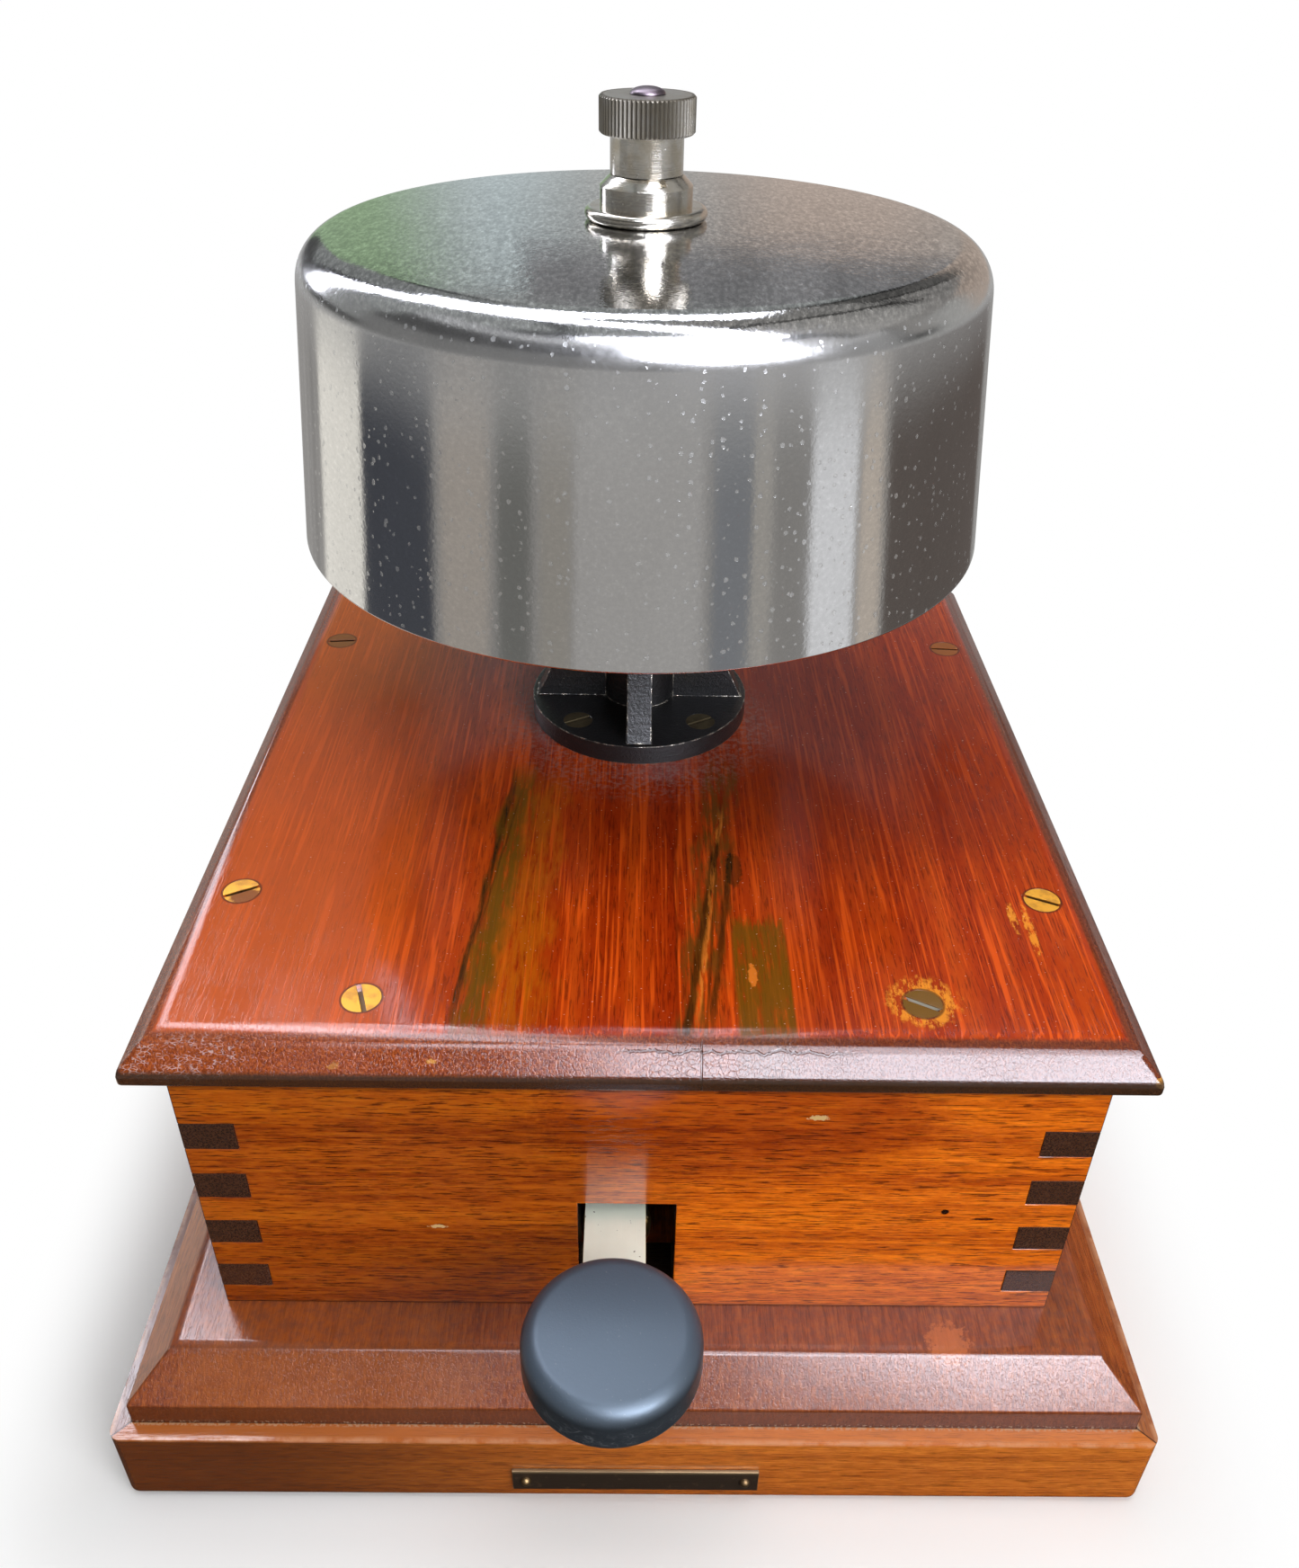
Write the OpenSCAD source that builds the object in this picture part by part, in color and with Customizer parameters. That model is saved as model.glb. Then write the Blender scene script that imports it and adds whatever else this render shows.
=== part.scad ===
// Railway block bell with a tapper key, in millimetres.
// +Z is up, the front faces -Y, and the origin is the middle of the underside.

/* [Base] */
// Width over the foot rails
base_w = 227; // [215:1:260]
// Depth over the foot rails
base_d = 238; // [225:1:270]
// Height of the foot rails
rail_h = 23.5; // [15:0.5:35]
// Thickness of the foot rails, seen as a ledge round the baseboard
rail_t = 4; // [3:0.5:6]
// Upright step of the baseboard above the rails
step_h = 5.9; // [3:0.1:12]
// How far the baseboard's bevel runs in
base_bevel_in = 9; // [4:0.5:12]
// How far the baseboard's bevel rises
base_bevel_h = 8.8; // [4:0.2:14]

/* [Case] */
// Width of the case
case_w = 182.8; // [170:0.2:195]
// Depth of the case
case_d = 191; // [180:1:205]
// Height of the case
case_h = 76; // [70:1:95]
// Thickness of the side boards
side_t = 11; // [9:0.5:14]
// Thickness of the front and rear boards
end_t = 12; // [11:0.5:14]
// Height of the lowest pin of the corner joint
pin_first = 6; // [4:0.5:8]
// Height of each side-board finger
finger_h = 7.5; // [5:0.1:8]
// Pitch of the fingers
finger_pitch = 15.1; // [14:0.1:16]
// Fingers at each corner
finger_count = 4; // [2:1:4]

/* [Lid] */
// Overhang of the lid all round
lid_overhang = 6.1; // [3:0.1:10]
// Upright edge of the lid
lid_edge = 3.1; // [2:0.1:6]
// Bevel of the lid, the same in and up
lid_bevel = 5.7; // [3:0.1:9]
// Distance between the two screws of one side
lid_side_span = 110; // [80:1:140]
// Distance between the two screws of the front or rear edge
lid_end_span = 107.8; // [80:0.2:130]
// Side screws, in from the side of the case
lid_side_inset = 6.6; // [4:0.1:8]
// Front and rear screws, in from the face of the case
lid_end_inset = 9; // [4:0.1:9]

/* [Wood screws] */
// Head radius of the lid screws
lid_screw_head_r = 3.8; // [3:0.1:5]
// Shank radius of the lid screws
lid_screw_r = 1.6; // [1.2:0.1:2]
// Length of the lid screws
lid_screw_l = 30; // [20:1:40]
// Head radius of the pillar screws
foot_screw_head_r = 3.6; // [3:0.1:4]
// Shank radius of the pillar screws
foot_screw_r = 1.7; // [1.2:0.1:2]
// Length of the pillar screws
foot_screw_l = 12.8; // [9:0.1:13.5]
// Turn of the pillar screws' slots
foot_screw_turn = 30; // [0:5:90]
// Length of the base screws from seat to tip
base_screw_l = 32; // [28:1:38]
// Radius of the counterbores under the base
base_recess_r = 5; // [4.5:0.1:6]
// Depth of the counterbores under the base
base_recess_h = 20; // [14:1:24]
// Head radius of the small round-head screws
small_head_r = 3; // [2.6:0.1:3.5]
// Shank radius of the small screws
small_r = 1.3; // [1:0.1:1.6]
// Length of the small screws in the wood
small_l = 12; // [10:1:16]
// Width of every screw slot
slot_cut = 0.9; // [0.6:0.1:1.2]

/* [Pillar] */
// Bell axis, sideways from the middle
bell_x = -1.2; // [-6:0.1:6]
// Bell axis, behind the middle
bell_y = 22; // [15:0.5:24]
// Radius of the pillar's foot
foot_r = 27.3; // [26:0.1:28.5]
// Thickness of the foot
foot_t = 5; // [4:0.5:8]
// Thickness of the ribs
rib_t = 6; // [4:0.5:8]
// Radius of the ribs where they leave the foot
rib_foot_r = 26; // [20:0.5:26]
// How sharply the ribs sweep in to the column
rib_sweep = 3; // [2:0.5:4]
// Radius of the column
column_r = 9; // [8:0.5:12]
// Radius of the boss that carries the dome
boss_r = 13; // [12:0.5:16]
// Height of that boss
boss_h = 8; // [5:0.5:14]
// Radius of the circle of foot screws
foot_screw_circle = 21.5; // [20:0.1:22.5]

/* [Dome] */
// Height of the dome's rim over the lid
dome_lift = 54; // [48:1:65]
// Height of the dome from rim to shoulder
dome_h = 63.3; // [55:0.1:75]
// Rise of the crown above the shoulder
dome_crown = 1.5; // [0.5:0.1:4]
// Outer radius at the rim
dome_rim_r = 77.4; // [72:0.2:84]
// Outer radius at the top of the wall
dome_top_r = 72.6; // [66:0.2:78]
// Radius of the shoulder
dome_fillet = 9; // [6:0.5:14]
// Flat left on the crown round the seat and the washer
seat_flat = 1; // [0.5:0.1:3]
// Wall of the dome
dome_wall = 3; // [2:0.1:4]

/* [Top fitting] */
// Radius of the flanged washer
flange_r = 12.8; // [11:0.1:16]
// Thickness of the flanged washer
flange_t = 2.6; // [2:0.1:4]
// Radius of the collar
collar_r = 9.6; // [9:0.1:12]
// Upright wall of the collar
collar_h = 4; // [2:0.1:8]
// Chamfer on the collar's top
collar_chamfer = 2; // [1:0.1:2.5]
// Width of the notch in the collar
notch_w = 3.2; // [2:0.1:4]
// Depth of the notch
notch_h = 1.2; // [0.6:0.1:2]
// Wall left between the notch and the spindle
notch_wall = 2; // [1:0.1:2.5]
// Turn of the notch from the front
notch_turn = 17; // [0:1:60]
// Radius of the thumb knob's neck
neck_r = 7.5; // [6.5:0.1:9]
// Height of the neck
neck_h = 7.3; // [4:0.1:12]
// Radius of the knurled head
head_r = 9.8; // [9:0.1:13]
// Height of the knurled head
head_h = 7; // [4:0.1:12]
// Teeth of the knurl
knurl_count = 64; // [40:1:80]
// Depth of the knurl
knurl_depth = 0.45; // [0.2:0.05:0.8]
// Radius of the cap screw's head
cap_r = 3.6; // [3:0.1:5]
// Height of the cap screw's head
cap_h = 2.2; // [1.5:0.1:3]
// Shank radius of the cap screw
cap_shank_r = 1.8; // [1.4:0.1:2.4]
// Radius of the bell spindle
spindle_r = 4; // [3.5:0.1:5]
// Grip of the cap screw in the spindle
cap_grip = 6; // [4:0.5:10]
// Length of the spindle inside the pillar
spindle_in = 25; // [15:1:40]
// Thickness of the seat washer under the dome
seat_t = 1.5; // [1:0.1:3]

/* [Tapper] */
// Middle of the lever, sideways
tapper_x = -5; // [-10:0.2:0]
// Width of the lever
lever_w = 12.7; // [10:0.1:13.5]
// Thickness of the lever
lever_t = 3; // [2:0.1:4]
// Top of the lever over the baseboard
lever_rise = 32.3; // [30:0.1:33.5]
// Knob centre, in front of the case
knob_reach = 33.5; // [30:0.5:45]
// Radius of the knob
knob_r = 17; // [13:0.5:20]
// Thickness of the knob
knob_t = 11; // [8:0.5:15]
// Rounding of the knob's top edge
knob_round_top = 3.2; // [1:0.1:4]
// Rounding of the knob's bottom edge
knob_round_low = 2; // [1:0.1:3]
// Pivot, behind the case front
pivot_back = 61.5; // [56:0.5:68]
// Pivot, below the underside of the lever
pivot_drop = 6.5; // [6:0.1:9]
// Radius of the lever's pivot pin
tapper_pin_r = 2; // [1.5:0.1:2.5]
// Radius of the lever's pivot barrel
barrel_r = 5; // [4.5:0.1:6]
// Length of the lever's tail behind the pivot
tail_l = 24; // [20:0.5:28]
// Travel of the knob when it is pressed
knob_travel = 8; // [4:0.5:10]
// Middle of the slot, sideways
slot_x = -2.6; // [-6:0.2:0]
// Width of the slot in the front board
slot_w = 20.6; // [19:0.2:26]
// Top of the slot over the baseboard
slot_top = 35.2; // [34:0.2:38]
// Sill of the slot over the baseboard
slot_sill = 6; // [4:0.5:10]

/* [Key works] */
// Width of the key's insulating base
key_base_w = 34; // [32:1:40]
// Thickness of the key's insulating base
key_base_t = 6; // [4:0.5:8]
// Front end of the key base, ahead of the pivot
key_front = 30; // [26:0.5:32]
// Rear end of the key base, behind the pivot
key_rear = 27; // [25:0.5:30]
// Thickness of the pivot bracket
bracket_t = 3; // [2:0.1:3.5]
// Foot of the pivot bracket, past the barrel at each end
bracket_toe = 1; // [0.5:0.1:2]
// Front contact, ahead of the pivot
contact_front = 20; // [16:0.5:22]
// Back contact, behind the pivot
contact_back = 17; // [14:0.5:17]
// Radius of the contact posts
contact_r = 3; // [2:0.1:3.5]
// Down-stop post, behind the inner face of the front board
stop_back = 9; // [8.5:0.5:12]
// Radius of the down-stop post
stop_r = 3.6; // [3:0.1:4.5]
// Radius of the post's foot, which seats the spring
stop_foot_r = 8; // [8:0.1:8.4]
// Thickness of that foot
stop_foot_t = 2; // [1.5:0.1:3]
// Mean radius of the tapper spring
tapper_spring_r = 6.6; // [6:0.1:6.8]
// Wire radius of the tapper spring
tapper_wire_r = 0.7; // [0.4:0.05:0.9]
// Turns of the tapper spring
tapper_turns = 6; // [4:1:9]

/* [Magnet] */
// Coil axes, each side of the bell axis
coil_x = 20; // [19:0.5:22]
// Coil axes over the baseboard
coil_z = 28; // [24:0.5:30]
// Radius of the cores
core_r = 6; // [4:0.5:7]
// Radius of the windings
winding_r = 13.5; // [10:0.5:14]
// Radius of the bobbin flanges
bobbin_r = 14.5; // [14:0.1:15]
// Thickness of the bobbin flanges
bobbin_t = 2; // [1.5:0.1:3]
// Wall of the bobbin tube
bobbin_wall = 1; // [0.8:0.1:1.5]
// Length of the bobbins
bobbin_l = 36; // [28:0.5:38]
// How far the cores stand out of the bobbins
pole_out = 3; // [2:0.1:4]
// Thickness of the yoke bracket
yoke_t = 6; // [4:0.5:8]
// Width of the yoke bracket
yoke_w = 74; // [70:1:80]
// Height of the yoke above the coil axes
yoke_over = 14; // [10:0.5:16]
// Length of the yoke bracket's foot
yoke_foot = 18; // [14:0.5:19]
// Pole faces, behind the bell axis
pole_y = 23; // [22:0.5:24]

/* [Hammer] */
// Thickness of the armature
armature_t = 5; // [3:0.5:6]
// Width of the armature
armature_w = 56; // [50:1:56]
// Armature's lower edge, below the coil axes
armature_below = 12; // [8:0.5:14]
// Air gap between armature and poles at rest
air_gap = 2; // [1:0.1:3]
// Air gap that is left when the hammer strikes
strike_air = 0.3; // [0.2:0.05:0.6]
// Armature pivot over the coil axes
pivot_over = 32; // [30:0.5:34]
// Radius of the armature's pivot pin
armature_pin_r = 2.5; // [2:0.1:3]
// Radius of the armature's hub
hub_r = 5; // [4.5:0.1:5.5]
// Radius of the hammer rod
rod_r = 2.2; // [1.6:0.1:2.6]
// Metal left in the hub under the end of the rod
rod_floor = 1; // [0.5:0.1:2]
// Length of the rod's socket on the hub
socket_l = 9; // [8:0.5:9.5]
// Radius of the rod's socket
socket_r = 4.2; // [3.6:0.1:4.6]
// Radius of the hammer head
hammer_r = 8; // [6:0.5:9]
// Height of the blow over the dome's rim
blow_h = 9.5; // [8:0.5:14]
// Gap left at the dome when the rod's whip is spent
blow_gap = 0.5; // [0.3:0.1:1.5]
// Width of the hammer's slot in the lid
hammer_slot_w = 12; // [10:0.5:14]
// Thickness of the armature bracket's cheeks
cheek_t = 4; // [3:0.1:4]
// Depth of those cheeks
cheek_d = 13; // [12:0.5:13.5]
// Thickness of the armature bracket's foot
gallows_foot_t = 3; // [2:0.5:4]
// Reach of that foot behind the pivot
gallows_rear = 17; // [16:0.5:18]
// Mean radius of the armature spring
armature_spring_r = 3.2; // [2.8:0.1:3.4]
// Wire radius of the armature spring
armature_wire_r = 0.4; // [0.3:0.05:0.5]
// Turns of the armature spring
armature_turns = 12; // [8:1:14]
// Spring, ahead of the armature pivot
spring_ahead = 18; // [17:0.5:20]
// Height of the post that holds the spring down
spring_post_h = 12; // [8:0.5:16]
// Backstop bracket, behind the armature pivot
backstop_behind = 7; // [6:0.5:8]
// Thickness of the backstop bracket
backstop_t = 3; // [2:0.5:4]
// Width of the backstop bracket
backstop_w = 14; // [10:0.5:18]
// Radius of the backstop screw
backstop_r = 2; // [1.5:0.1:2.5]
// Thickness of the backstop screw's head
backstop_head_t = 3; // [2:0.1:4]
// Thickness of the backstop's lock nut
backstop_nut_t = 2.5; // [2:0.1:3]
// Thread showing between lock nut and head
backstop_thread = 2; // [1:0.1:3]

/* [Terminals] */
// Width of the terminal board
terminal_w = 90; // [86:1:100]
// Height of the terminal board
terminal_h = 18; // [14:0.5:22]
// Thickness of the terminal board
terminal_t = 8; // [6:0.5:8]
// Terminal studs over the baseboard
terminal_z = 17; // [15:0.5:20]
// Pitch of the terminals
terminal_pitch = 25; // [22:0.5:26]
// Radius of the terminal studs
stud_r = 2; // [1.5:0.1:2.5]
// Length of the studs in front of the board
stud_l = 10; // [8:0.5:11]
// Radius of the terminal nuts
nut_r = 4.5; // [4:0.1:5.5]
// Thickness of the terminal nuts
nut_t = 4; // [3:0.1:5]
// Wire entry, sideways from the middle
entry_x = 60; // [56:1:66]
// Wire entry over the baseboard
entry_z = 18; // [16:0.5:30]
// Bore of the wire-entry bush
entry_bore_r = 4.5; // [3:0.1:6]
// Outer radius of the bush in the board
entry_r = 7; // [6.5:0.1:9]
// Radius of the bush's flange
entry_flange_r = 10; // [9:0.1:12]
// Thickness of that flange
entry_flange_t = 3; // [2:0.1:5]

/* [Leads] */
// Radius of the internal leads
lead_r = 1; // [0.6:0.1:1.4]
// Leads, out from the armature bracket
lead_out = 4; // [2.5:0.5:6]

/* [Name plate] */
// Length of the plate
plate_w = 54.3; // [40:0.1:70]
// Height of the plate
plate_h = 7.5; // [5:0.1:10]
// Thickness of the plate
plate_t = 0.8; // [0.5:0.1:1.5]
// Middle of the plate over the foot of the rail
plate_z = 9.2; // [6:0.1:14]
// Head radius of the plate pins
plate_pin_head_r = 1.2; // [0.8:0.1:1.8]
// Shank radius of the plate pins
plate_pin_r = 0.6; // [0.4:0.05:0.8]
// Length of the plate pins in the rail
plate_pin_l = 3; // [2:0.1:3.5]
// Plate pins, in from the ends of the plate
plate_pin_inset = 3; // [2:0.1:5]

/* [Clearances] */
// Radial clearance of pins and shafts that turn
run_slack = 0.06; // [0.02:0.01:0.1]
// Clearance round screws, posts and other fixed pieces
fix_slack = 0.05; // [0.03:0.01:0.1]
// Gap between moving pieces that lie face to face
face_gap = 0.2; // [0.1:0.05:0.3]
// Side clearance of a lever or hub between its cheeks
cheek_slack = 0.5; // [0.3:0.05:0.8]
// Gap left at the down stop and the front contact when the knob is down
press_gap = 0.6; // [0.4:0.1:1]
// Wood or metal left round a small screw's head
head_room = 0.6; // [0.4:0.1:2]

/* [Hidden] */
$fn = 64;
cut = 1;

base_step_z = rail_h + step_h;
base_top = base_step_z + base_bevel_h;
board_w = base_w - 2 * rail_t;
board_d = base_d - 2 * rail_t;
case_top = base_top + case_h;
lid_t = lid_edge + lid_bevel;
lid_top = case_top + lid_t;
lid_w = case_w + 2 * lid_overhang;
lid_d = case_d + 2 * lid_overhang;
front_y = -case_d / 2;
rear_y = case_d / 2;

lid_side_x = case_w / 2 - lid_side_inset;
lid_end_y = rear_y - lid_end_inset;
lid_screw_places = concat(
    [for (sx = [-1, 1], sy = [-1, 1]) [sx * lid_side_x, sy * lid_side_span / 2]],
    [for (sx = [-1, 1], sy = [-1, 1]) [sx * lid_end_span / 2, sy * lid_end_y]]);
base_side_x = case_w / 2 - side_t / 2;
base_end_y = rear_y - end_t / 2;
base_screw_places = concat(
    [for (sx = [-1, 1], sy = [-1, 1]) [sx * base_side_x, sy * case_d / 4]],
    [for (sx = [-1, 1], sy = [-1, 1]) [sx * case_w / 4, sy * base_end_y]]);
foot_screw_places = [for (a = [45 : 90 : 315])
    [bell_x + foot_screw_circle * cos(a), bell_y + foot_screw_circle * sin(a)]];

rim_z = lid_top + dome_lift;
dome_seat_r = max(boss_r, flange_r) + seat_flat;
crown_r = dome_top_r - dome_fillet;
crown_slope = atan2(2 * dome_crown, crown_r);
dome_top = rim_z + dome_h + dome_rise(dome_seat_r);
dome_under = dome_top - dome_wall;
boss_top = dome_under - face_gap - seat_t;
flange_top = dome_top + flange_t;
collar_top = flange_top + collar_h + collar_chamfer;
knob_low = collar_top + face_gap;
head_low = knob_low + neck_h;
head_top = head_low + head_h;
spindle_top = head_low + head_h / 2;
cap_shank_l = head_top + face_gap - spindle_top + cap_grip;
wall_tilt = atan2(dome_rim_r - dome_top_r, dome_h - dome_fillet);

lever_top = base_top + lever_rise;
lever_low = lever_top - lever_t;
knob_y = front_y - knob_reach;
pivot_y = front_y + pivot_back;
pivot_z = lever_low - pivot_drop;
press_angle = asin(knob_travel / (pivot_y - knob_y));
stop_y = front_y + end_t + stop_back;
stop_top = lever_low - (pivot_y - stop_y) * tan(press_angle) - press_gap;
key_top = base_top + key_base_t;
front_contact_top = lever_low - contact_front * tan(press_angle) - press_gap;
back_contact_top = lever_low - face_gap;
bracket_x = lever_w / 2 + cheek_slack;
bracket_foot_l = 2 * (barrel_r + bracket_toe);

mag_z = base_top + coil_z;
pole_face = bell_y + pole_y;
bobbin_rear = pole_face - pole_out;
yoke_face = bobbin_rear - bobbin_l;
coil_places = [bell_x - coil_x, bell_x + coil_x];
armature_front = pole_face + air_gap;
arm_pivot_y = armature_front + hub_r;
arm_pivot_z = mag_z + pivot_over;
strike_angle = asin((air_gap - strike_air) / (pivot_over + core_r));
blow_wall = dome_rim_r - blow_h * tan(wall_tilt) - dome_wall / cos(wall_tilt);
blow_y = bell_y + blow_wall - blow_gap - hammer_r;
blow_z = rim_z + blow_h;
rod_l = norm([blow_y - arm_pivot_y, blow_z - arm_pivot_z]);
rod_low = hub_r + rod_floor;
rod_lean = atan2(blow_y - arm_pivot_y, blow_z - arm_pivot_z) - strike_angle;
strike_lean = rod_lean + strike_angle;
slot_front_y = arm_pivot_y + (case_top - arm_pivot_z) * tan(rod_lean) - hammer_slot_w / 2;
slot_rear_y = arm_pivot_y + (lid_top - arm_pivot_z) * tan(strike_lean) + hammer_slot_w / 2;
cheek_x = armature_w / 2 + cheek_slack;
gallows_w = 2 * (cheek_x + cheek_t);
gallows_top = base_top + gallows_foot_t;
spring_y = arm_pivot_y - spring_ahead;
spring_low = base_top + spring_post_h;
spring_plug_r = armature_spring_r - 2 * armature_wire_r;
tail_low = arm_pivot_z - hub_r;
backstop_z = mag_z - armature_below / 3;
backstop_tip = armature_front + armature_t + face_gap;
backstop_up_y = arm_pivot_y + backstop_behind;
backstop_end = backstop_up_y + backstop_t + backstop_nut_t + backstop_head_t + backstop_thread;

terminal_y = rear_y - end_t - terminal_t;
stud_z = base_top + terminal_z;
stud_places = [for (i = [-1.5 : 1 : 1.5]) bell_x + i * terminal_pitch];
board_screw_places = [bell_x - terminal_pitch, bell_x + terminal_pitch];
head_inset = small_head_r + head_room;
key_screw_places = [for (sx = [-1, 1], y = [head_inset - key_front, key_rear - head_inset])
    [tapper_x + sx * (key_base_w / 2 - head_inset), pivot_y + y]];
bracket_screw_x = bracket_x + bracket_t + head_inset;
bracket_screw_places = [for (sx = [-1, 1]) [tapper_x + sx * bracket_screw_x, pivot_y]];
yoke_screw_places = [for (sx = [-1, 1]) [bell_x + sx * yoke_w / 3, yoke_face + yoke_foot / 2]];
gallows_screw_places = [for (sx = [-1, 1])
    [bell_x + sx * gallows_w / 3, arm_pivot_y + gallows_rear - head_inset]];

lead_z = base_top + lead_r + head_room;
key_lead_z = key_top + lead_r + head_room;
// A direction that no lead runs along
lead_up = [0.31, 0.53, 0.79];

wood_red = [0.45, 0.19, 0.09];
wood_orange = [0.55, 0.28, 0.12];
wood_dark = [0.30, 0.15, 0.09];
brass = [0.72, 0.55, 0.28];
nickel = [0.75, 0.74, 0.71];
steel = [0.55, 0.55, 0.56];
iron = [0.08, 0.08, 0.09];
ebonite = [0.06, 0.06, 0.07];
copper = [0.60, 0.25, 0.12];

// Rise of the dome's crown above its shoulder at a radius
function dome_rise(r) = dome_crown * (1 - pow(r / crown_r, 2));

// Points of an arc in the plane, from one angle to another
function arc(c, r, from, to, steps) =
    [for (i = [0 : steps]) let (a = from + (to - from) * i / steps) c + r * [cos(a), sin(a)]];

// A board with an upright edge and a bevel all round its top
module bevelled_board(w, d, low, edge_z, top, bevel_in) {
    intersection() {
        rotate([90, 0, 0]) linear_extrude(d + 2 * cut, center = true)
            bevelled_outline(w, low, edge_z, top, bevel_in);
        rotate([90, 0, 90]) linear_extrude(w + 2 * cut, center = true)
            bevelled_outline(d, low, edge_z, top, bevel_in);
    }
}

module bevelled_outline(w, low, edge_z, top, bevel_in) {
    polygon([[-w / 2, low], [w / 2, low], [w / 2, edge_z], [w / 2 - bevel_in, top],
        [-w / 2 + bevel_in, top], [-w / 2, edge_z]]);
}

// A bar from one height to another at a place in plan
module post(place, low, high, r) {
    translate([place[0], place[1], low]) cylinder(h = high - low, r = r);
}

// A rod along X or Y through a point
module rod_x(p, l, r) { translate(p) rotate([0, 90, 0]) cylinder(h = l, r = r, center = true); }
module rod_y(p, l, r) { translate(p) rotate([-90, 0, 0]) cylinder(h = l, r = r); }

// A countersunk slotted wood screw with its head's face at height zero, pointing down
module countersunk_screw(head_r, shank_r, l) {
    difference() {
        union() {
            translate([0, 0, -head_r]) cylinder(h = head_r, r1 = 0, r2 = head_r);
            translate([0, 0, -l]) cylinder(h = l - head_r / 2, r = shank_r);
        }
        screw_slot(head_r);
    }
}

module countersunk_hole(head_r, shank_r, l) {
    sunk = head_r + fix_slack;
    translate([0, 0, -sunk]) cylinder(h = sunk, r1 = 0, r2 = sunk);
    translate([0, 0, -l - fix_slack]) cylinder(h = l, r = shank_r + fix_slack);
    cylinder(h = cut, r = sunk);
}

module screw_slot(head_r) {
    translate([-head_r - cut, -slot_cut / 2, -head_r / 4])
        cube([2 * head_r + 2 * cut, slot_cut, head_r]);
}

// A round-head slotted screw standing on height zero, pointing down
module round_head_screw(head_r, shank_r, l) {
    difference() {
        union() {
            rotate_extrude() polygon(concat([[0, 0]], arc([0, 0], head_r, 0, 90, 8)));
            translate([0, 0, -l]) cylinder(h = l + head_r / 4, r = shank_r);
        }
        translate([0, 0, head_r]) screw_slot(head_r);
    }
}

module small_screws(places, z) {
    for (p = places) translate([p[0], p[1], z]) round_head_screw(small_head_r, small_r, small_l);
}

module small_holes(places, z) {
    for (p = places) post(p, z - small_l - fix_slack, z + cut, small_r + fix_slack);
}

// A closed skin over rings of points, one ring after another
module swept(rings, steps, sides) {
    skin = [for (i = [0 : steps - 1], k = [0 : sides - 1], half = [0, 1])
        let (a = i * sides + k, b = i * sides + (k + 1) % sides)
        half == 0 ? [a, a + sides, b + sides] : [a, b + sides, b]];
    ends = [for (k = [1 : sides - 2], last = [0, 1])
        last == 0 ? [0, k, k + 1] : [for (j = [0, k + 1, k]) steps * sides + j]];
    polyhedron(rings, concat(skin, ends));
}

// A round wire coiled into a spring between two heights
module coil_spring(place, low, high, r, wire_r, turns) {
    sides = 8;
    steps_per_turn = 14;
    steps = steps_per_turn * turns;
    rise = high - low - 2 * wire_r;
    slope = atan2(rise, 2 * PI * r * turns);
    rings = [for (i = [0 : steps], k = [0 : sides - 1])
        let (a = 360 * turns * i / steps, b = 360 * k / sides)
        let (out = r + wire_r * cos(b), up = wire_r * sin(b))
        [out * cos(a) + up * sin(slope) * sin(a), out * sin(a) - up * sin(slope) * cos(a),
            wire_r + rise * i / steps + up * cos(slope)]];
    translate([place[0], place[1], low]) swept(rings, steps, sides);
}

// Base

module baseboard() {
    color(wood_dark) difference() {
        bevelled_board(board_w, board_d, 0, base_step_z, base_top, base_bevel_in);
        for (p = base_screw_places) {
            post(p, -cut, base_recess_h, base_recess_r);
            post(p, 0, base_top + cut, lid_screw_r + fix_slack);
        }
        small_holes(key_screw_places, key_top);
        small_holes(yoke_screw_places, base_top + yoke_t);
        small_holes(gallows_screw_places, gallows_top);
        post([tapper_x, stop_y], base_top - small_l - fix_slack, base_top + cut, stop_r / 2 + fix_slack);
        post([bell_x, spring_y], base_top - small_l - fix_slack, base_top + cut, rod_r + fix_slack);
    }
}

module foot_rail(l, off) {
    color(wood_orange) translate([0, -off, 0]) linear_extrude(rail_h)
        polygon([[-l / 2, 0], [l / 2, 0], [l / 2 - rail_t, rail_t], [-l / 2 + rail_t, rail_t]]);
}

module front_rail() {
    color(wood_orange) difference() {
        foot_rail(base_w, base_d / 2);
        plate_pin_places() rod_y([0, -cut, 0], plate_pin_l + cut, plate_pin_r + fix_slack);
    }
}

module rear_rail() { rotate(180) foot_rail(base_w, base_d / 2); }
module left_rail() { rotate(-90) foot_rail(base_d, base_w / 2); }
module right_rail() { rotate(90) foot_rail(base_d, base_w / 2); }

// Case

module fingers(slack) {
    for (i = [0 : finger_count - 1])
        translate([case_w / 2 - side_t, rear_y - end_t - slack, base_top + pin_first + i * finger_pitch])
            cube([side_t + slack, end_t + 2 * slack, finger_h]);
}

module all_fingers(slack) {
    for (sx = [0, 1], sy = [0, 1]) mirror([sx, 0, 0]) mirror([0, sy, 0]) fingers(slack);
}

module case_screw_holes() {
    for (p = lid_screw_places)
        post(p, lid_top - lid_screw_l - fix_slack, case_top + cut, lid_screw_r + fix_slack);
    for (p = base_screw_places)
        post(p, base_top - cut, base_recess_h + base_screw_l + fix_slack, lid_screw_r + fix_slack);
}

module end_board() {
    difference() {
        translate([-case_w / 2, rear_y - end_t, base_top]) cube([case_w, end_t, case_h]);
        all_fingers(cut);
        case_screw_holes();
    }
}

module case_front() {
    color(wood_orange) difference() {
        mirror([0, 1, 0]) end_board();
        translate([slot_x - slot_w / 2, front_y - cut, base_top + slot_sill])
            cube([slot_w, end_t + 2 * cut, slot_top - slot_sill]);
    }
}

module case_rear() {
    color(wood_orange) difference() {
        end_board();
        rod_y([entry_x, rear_y - end_t - cut, base_top + entry_z], end_t + 2 * cut, entry_r + fix_slack);
        for (x = board_screw_places)
            rod_y([x, terminal_y, stud_z], small_l + fix_slack, small_r + fix_slack);
    }
}

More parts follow.
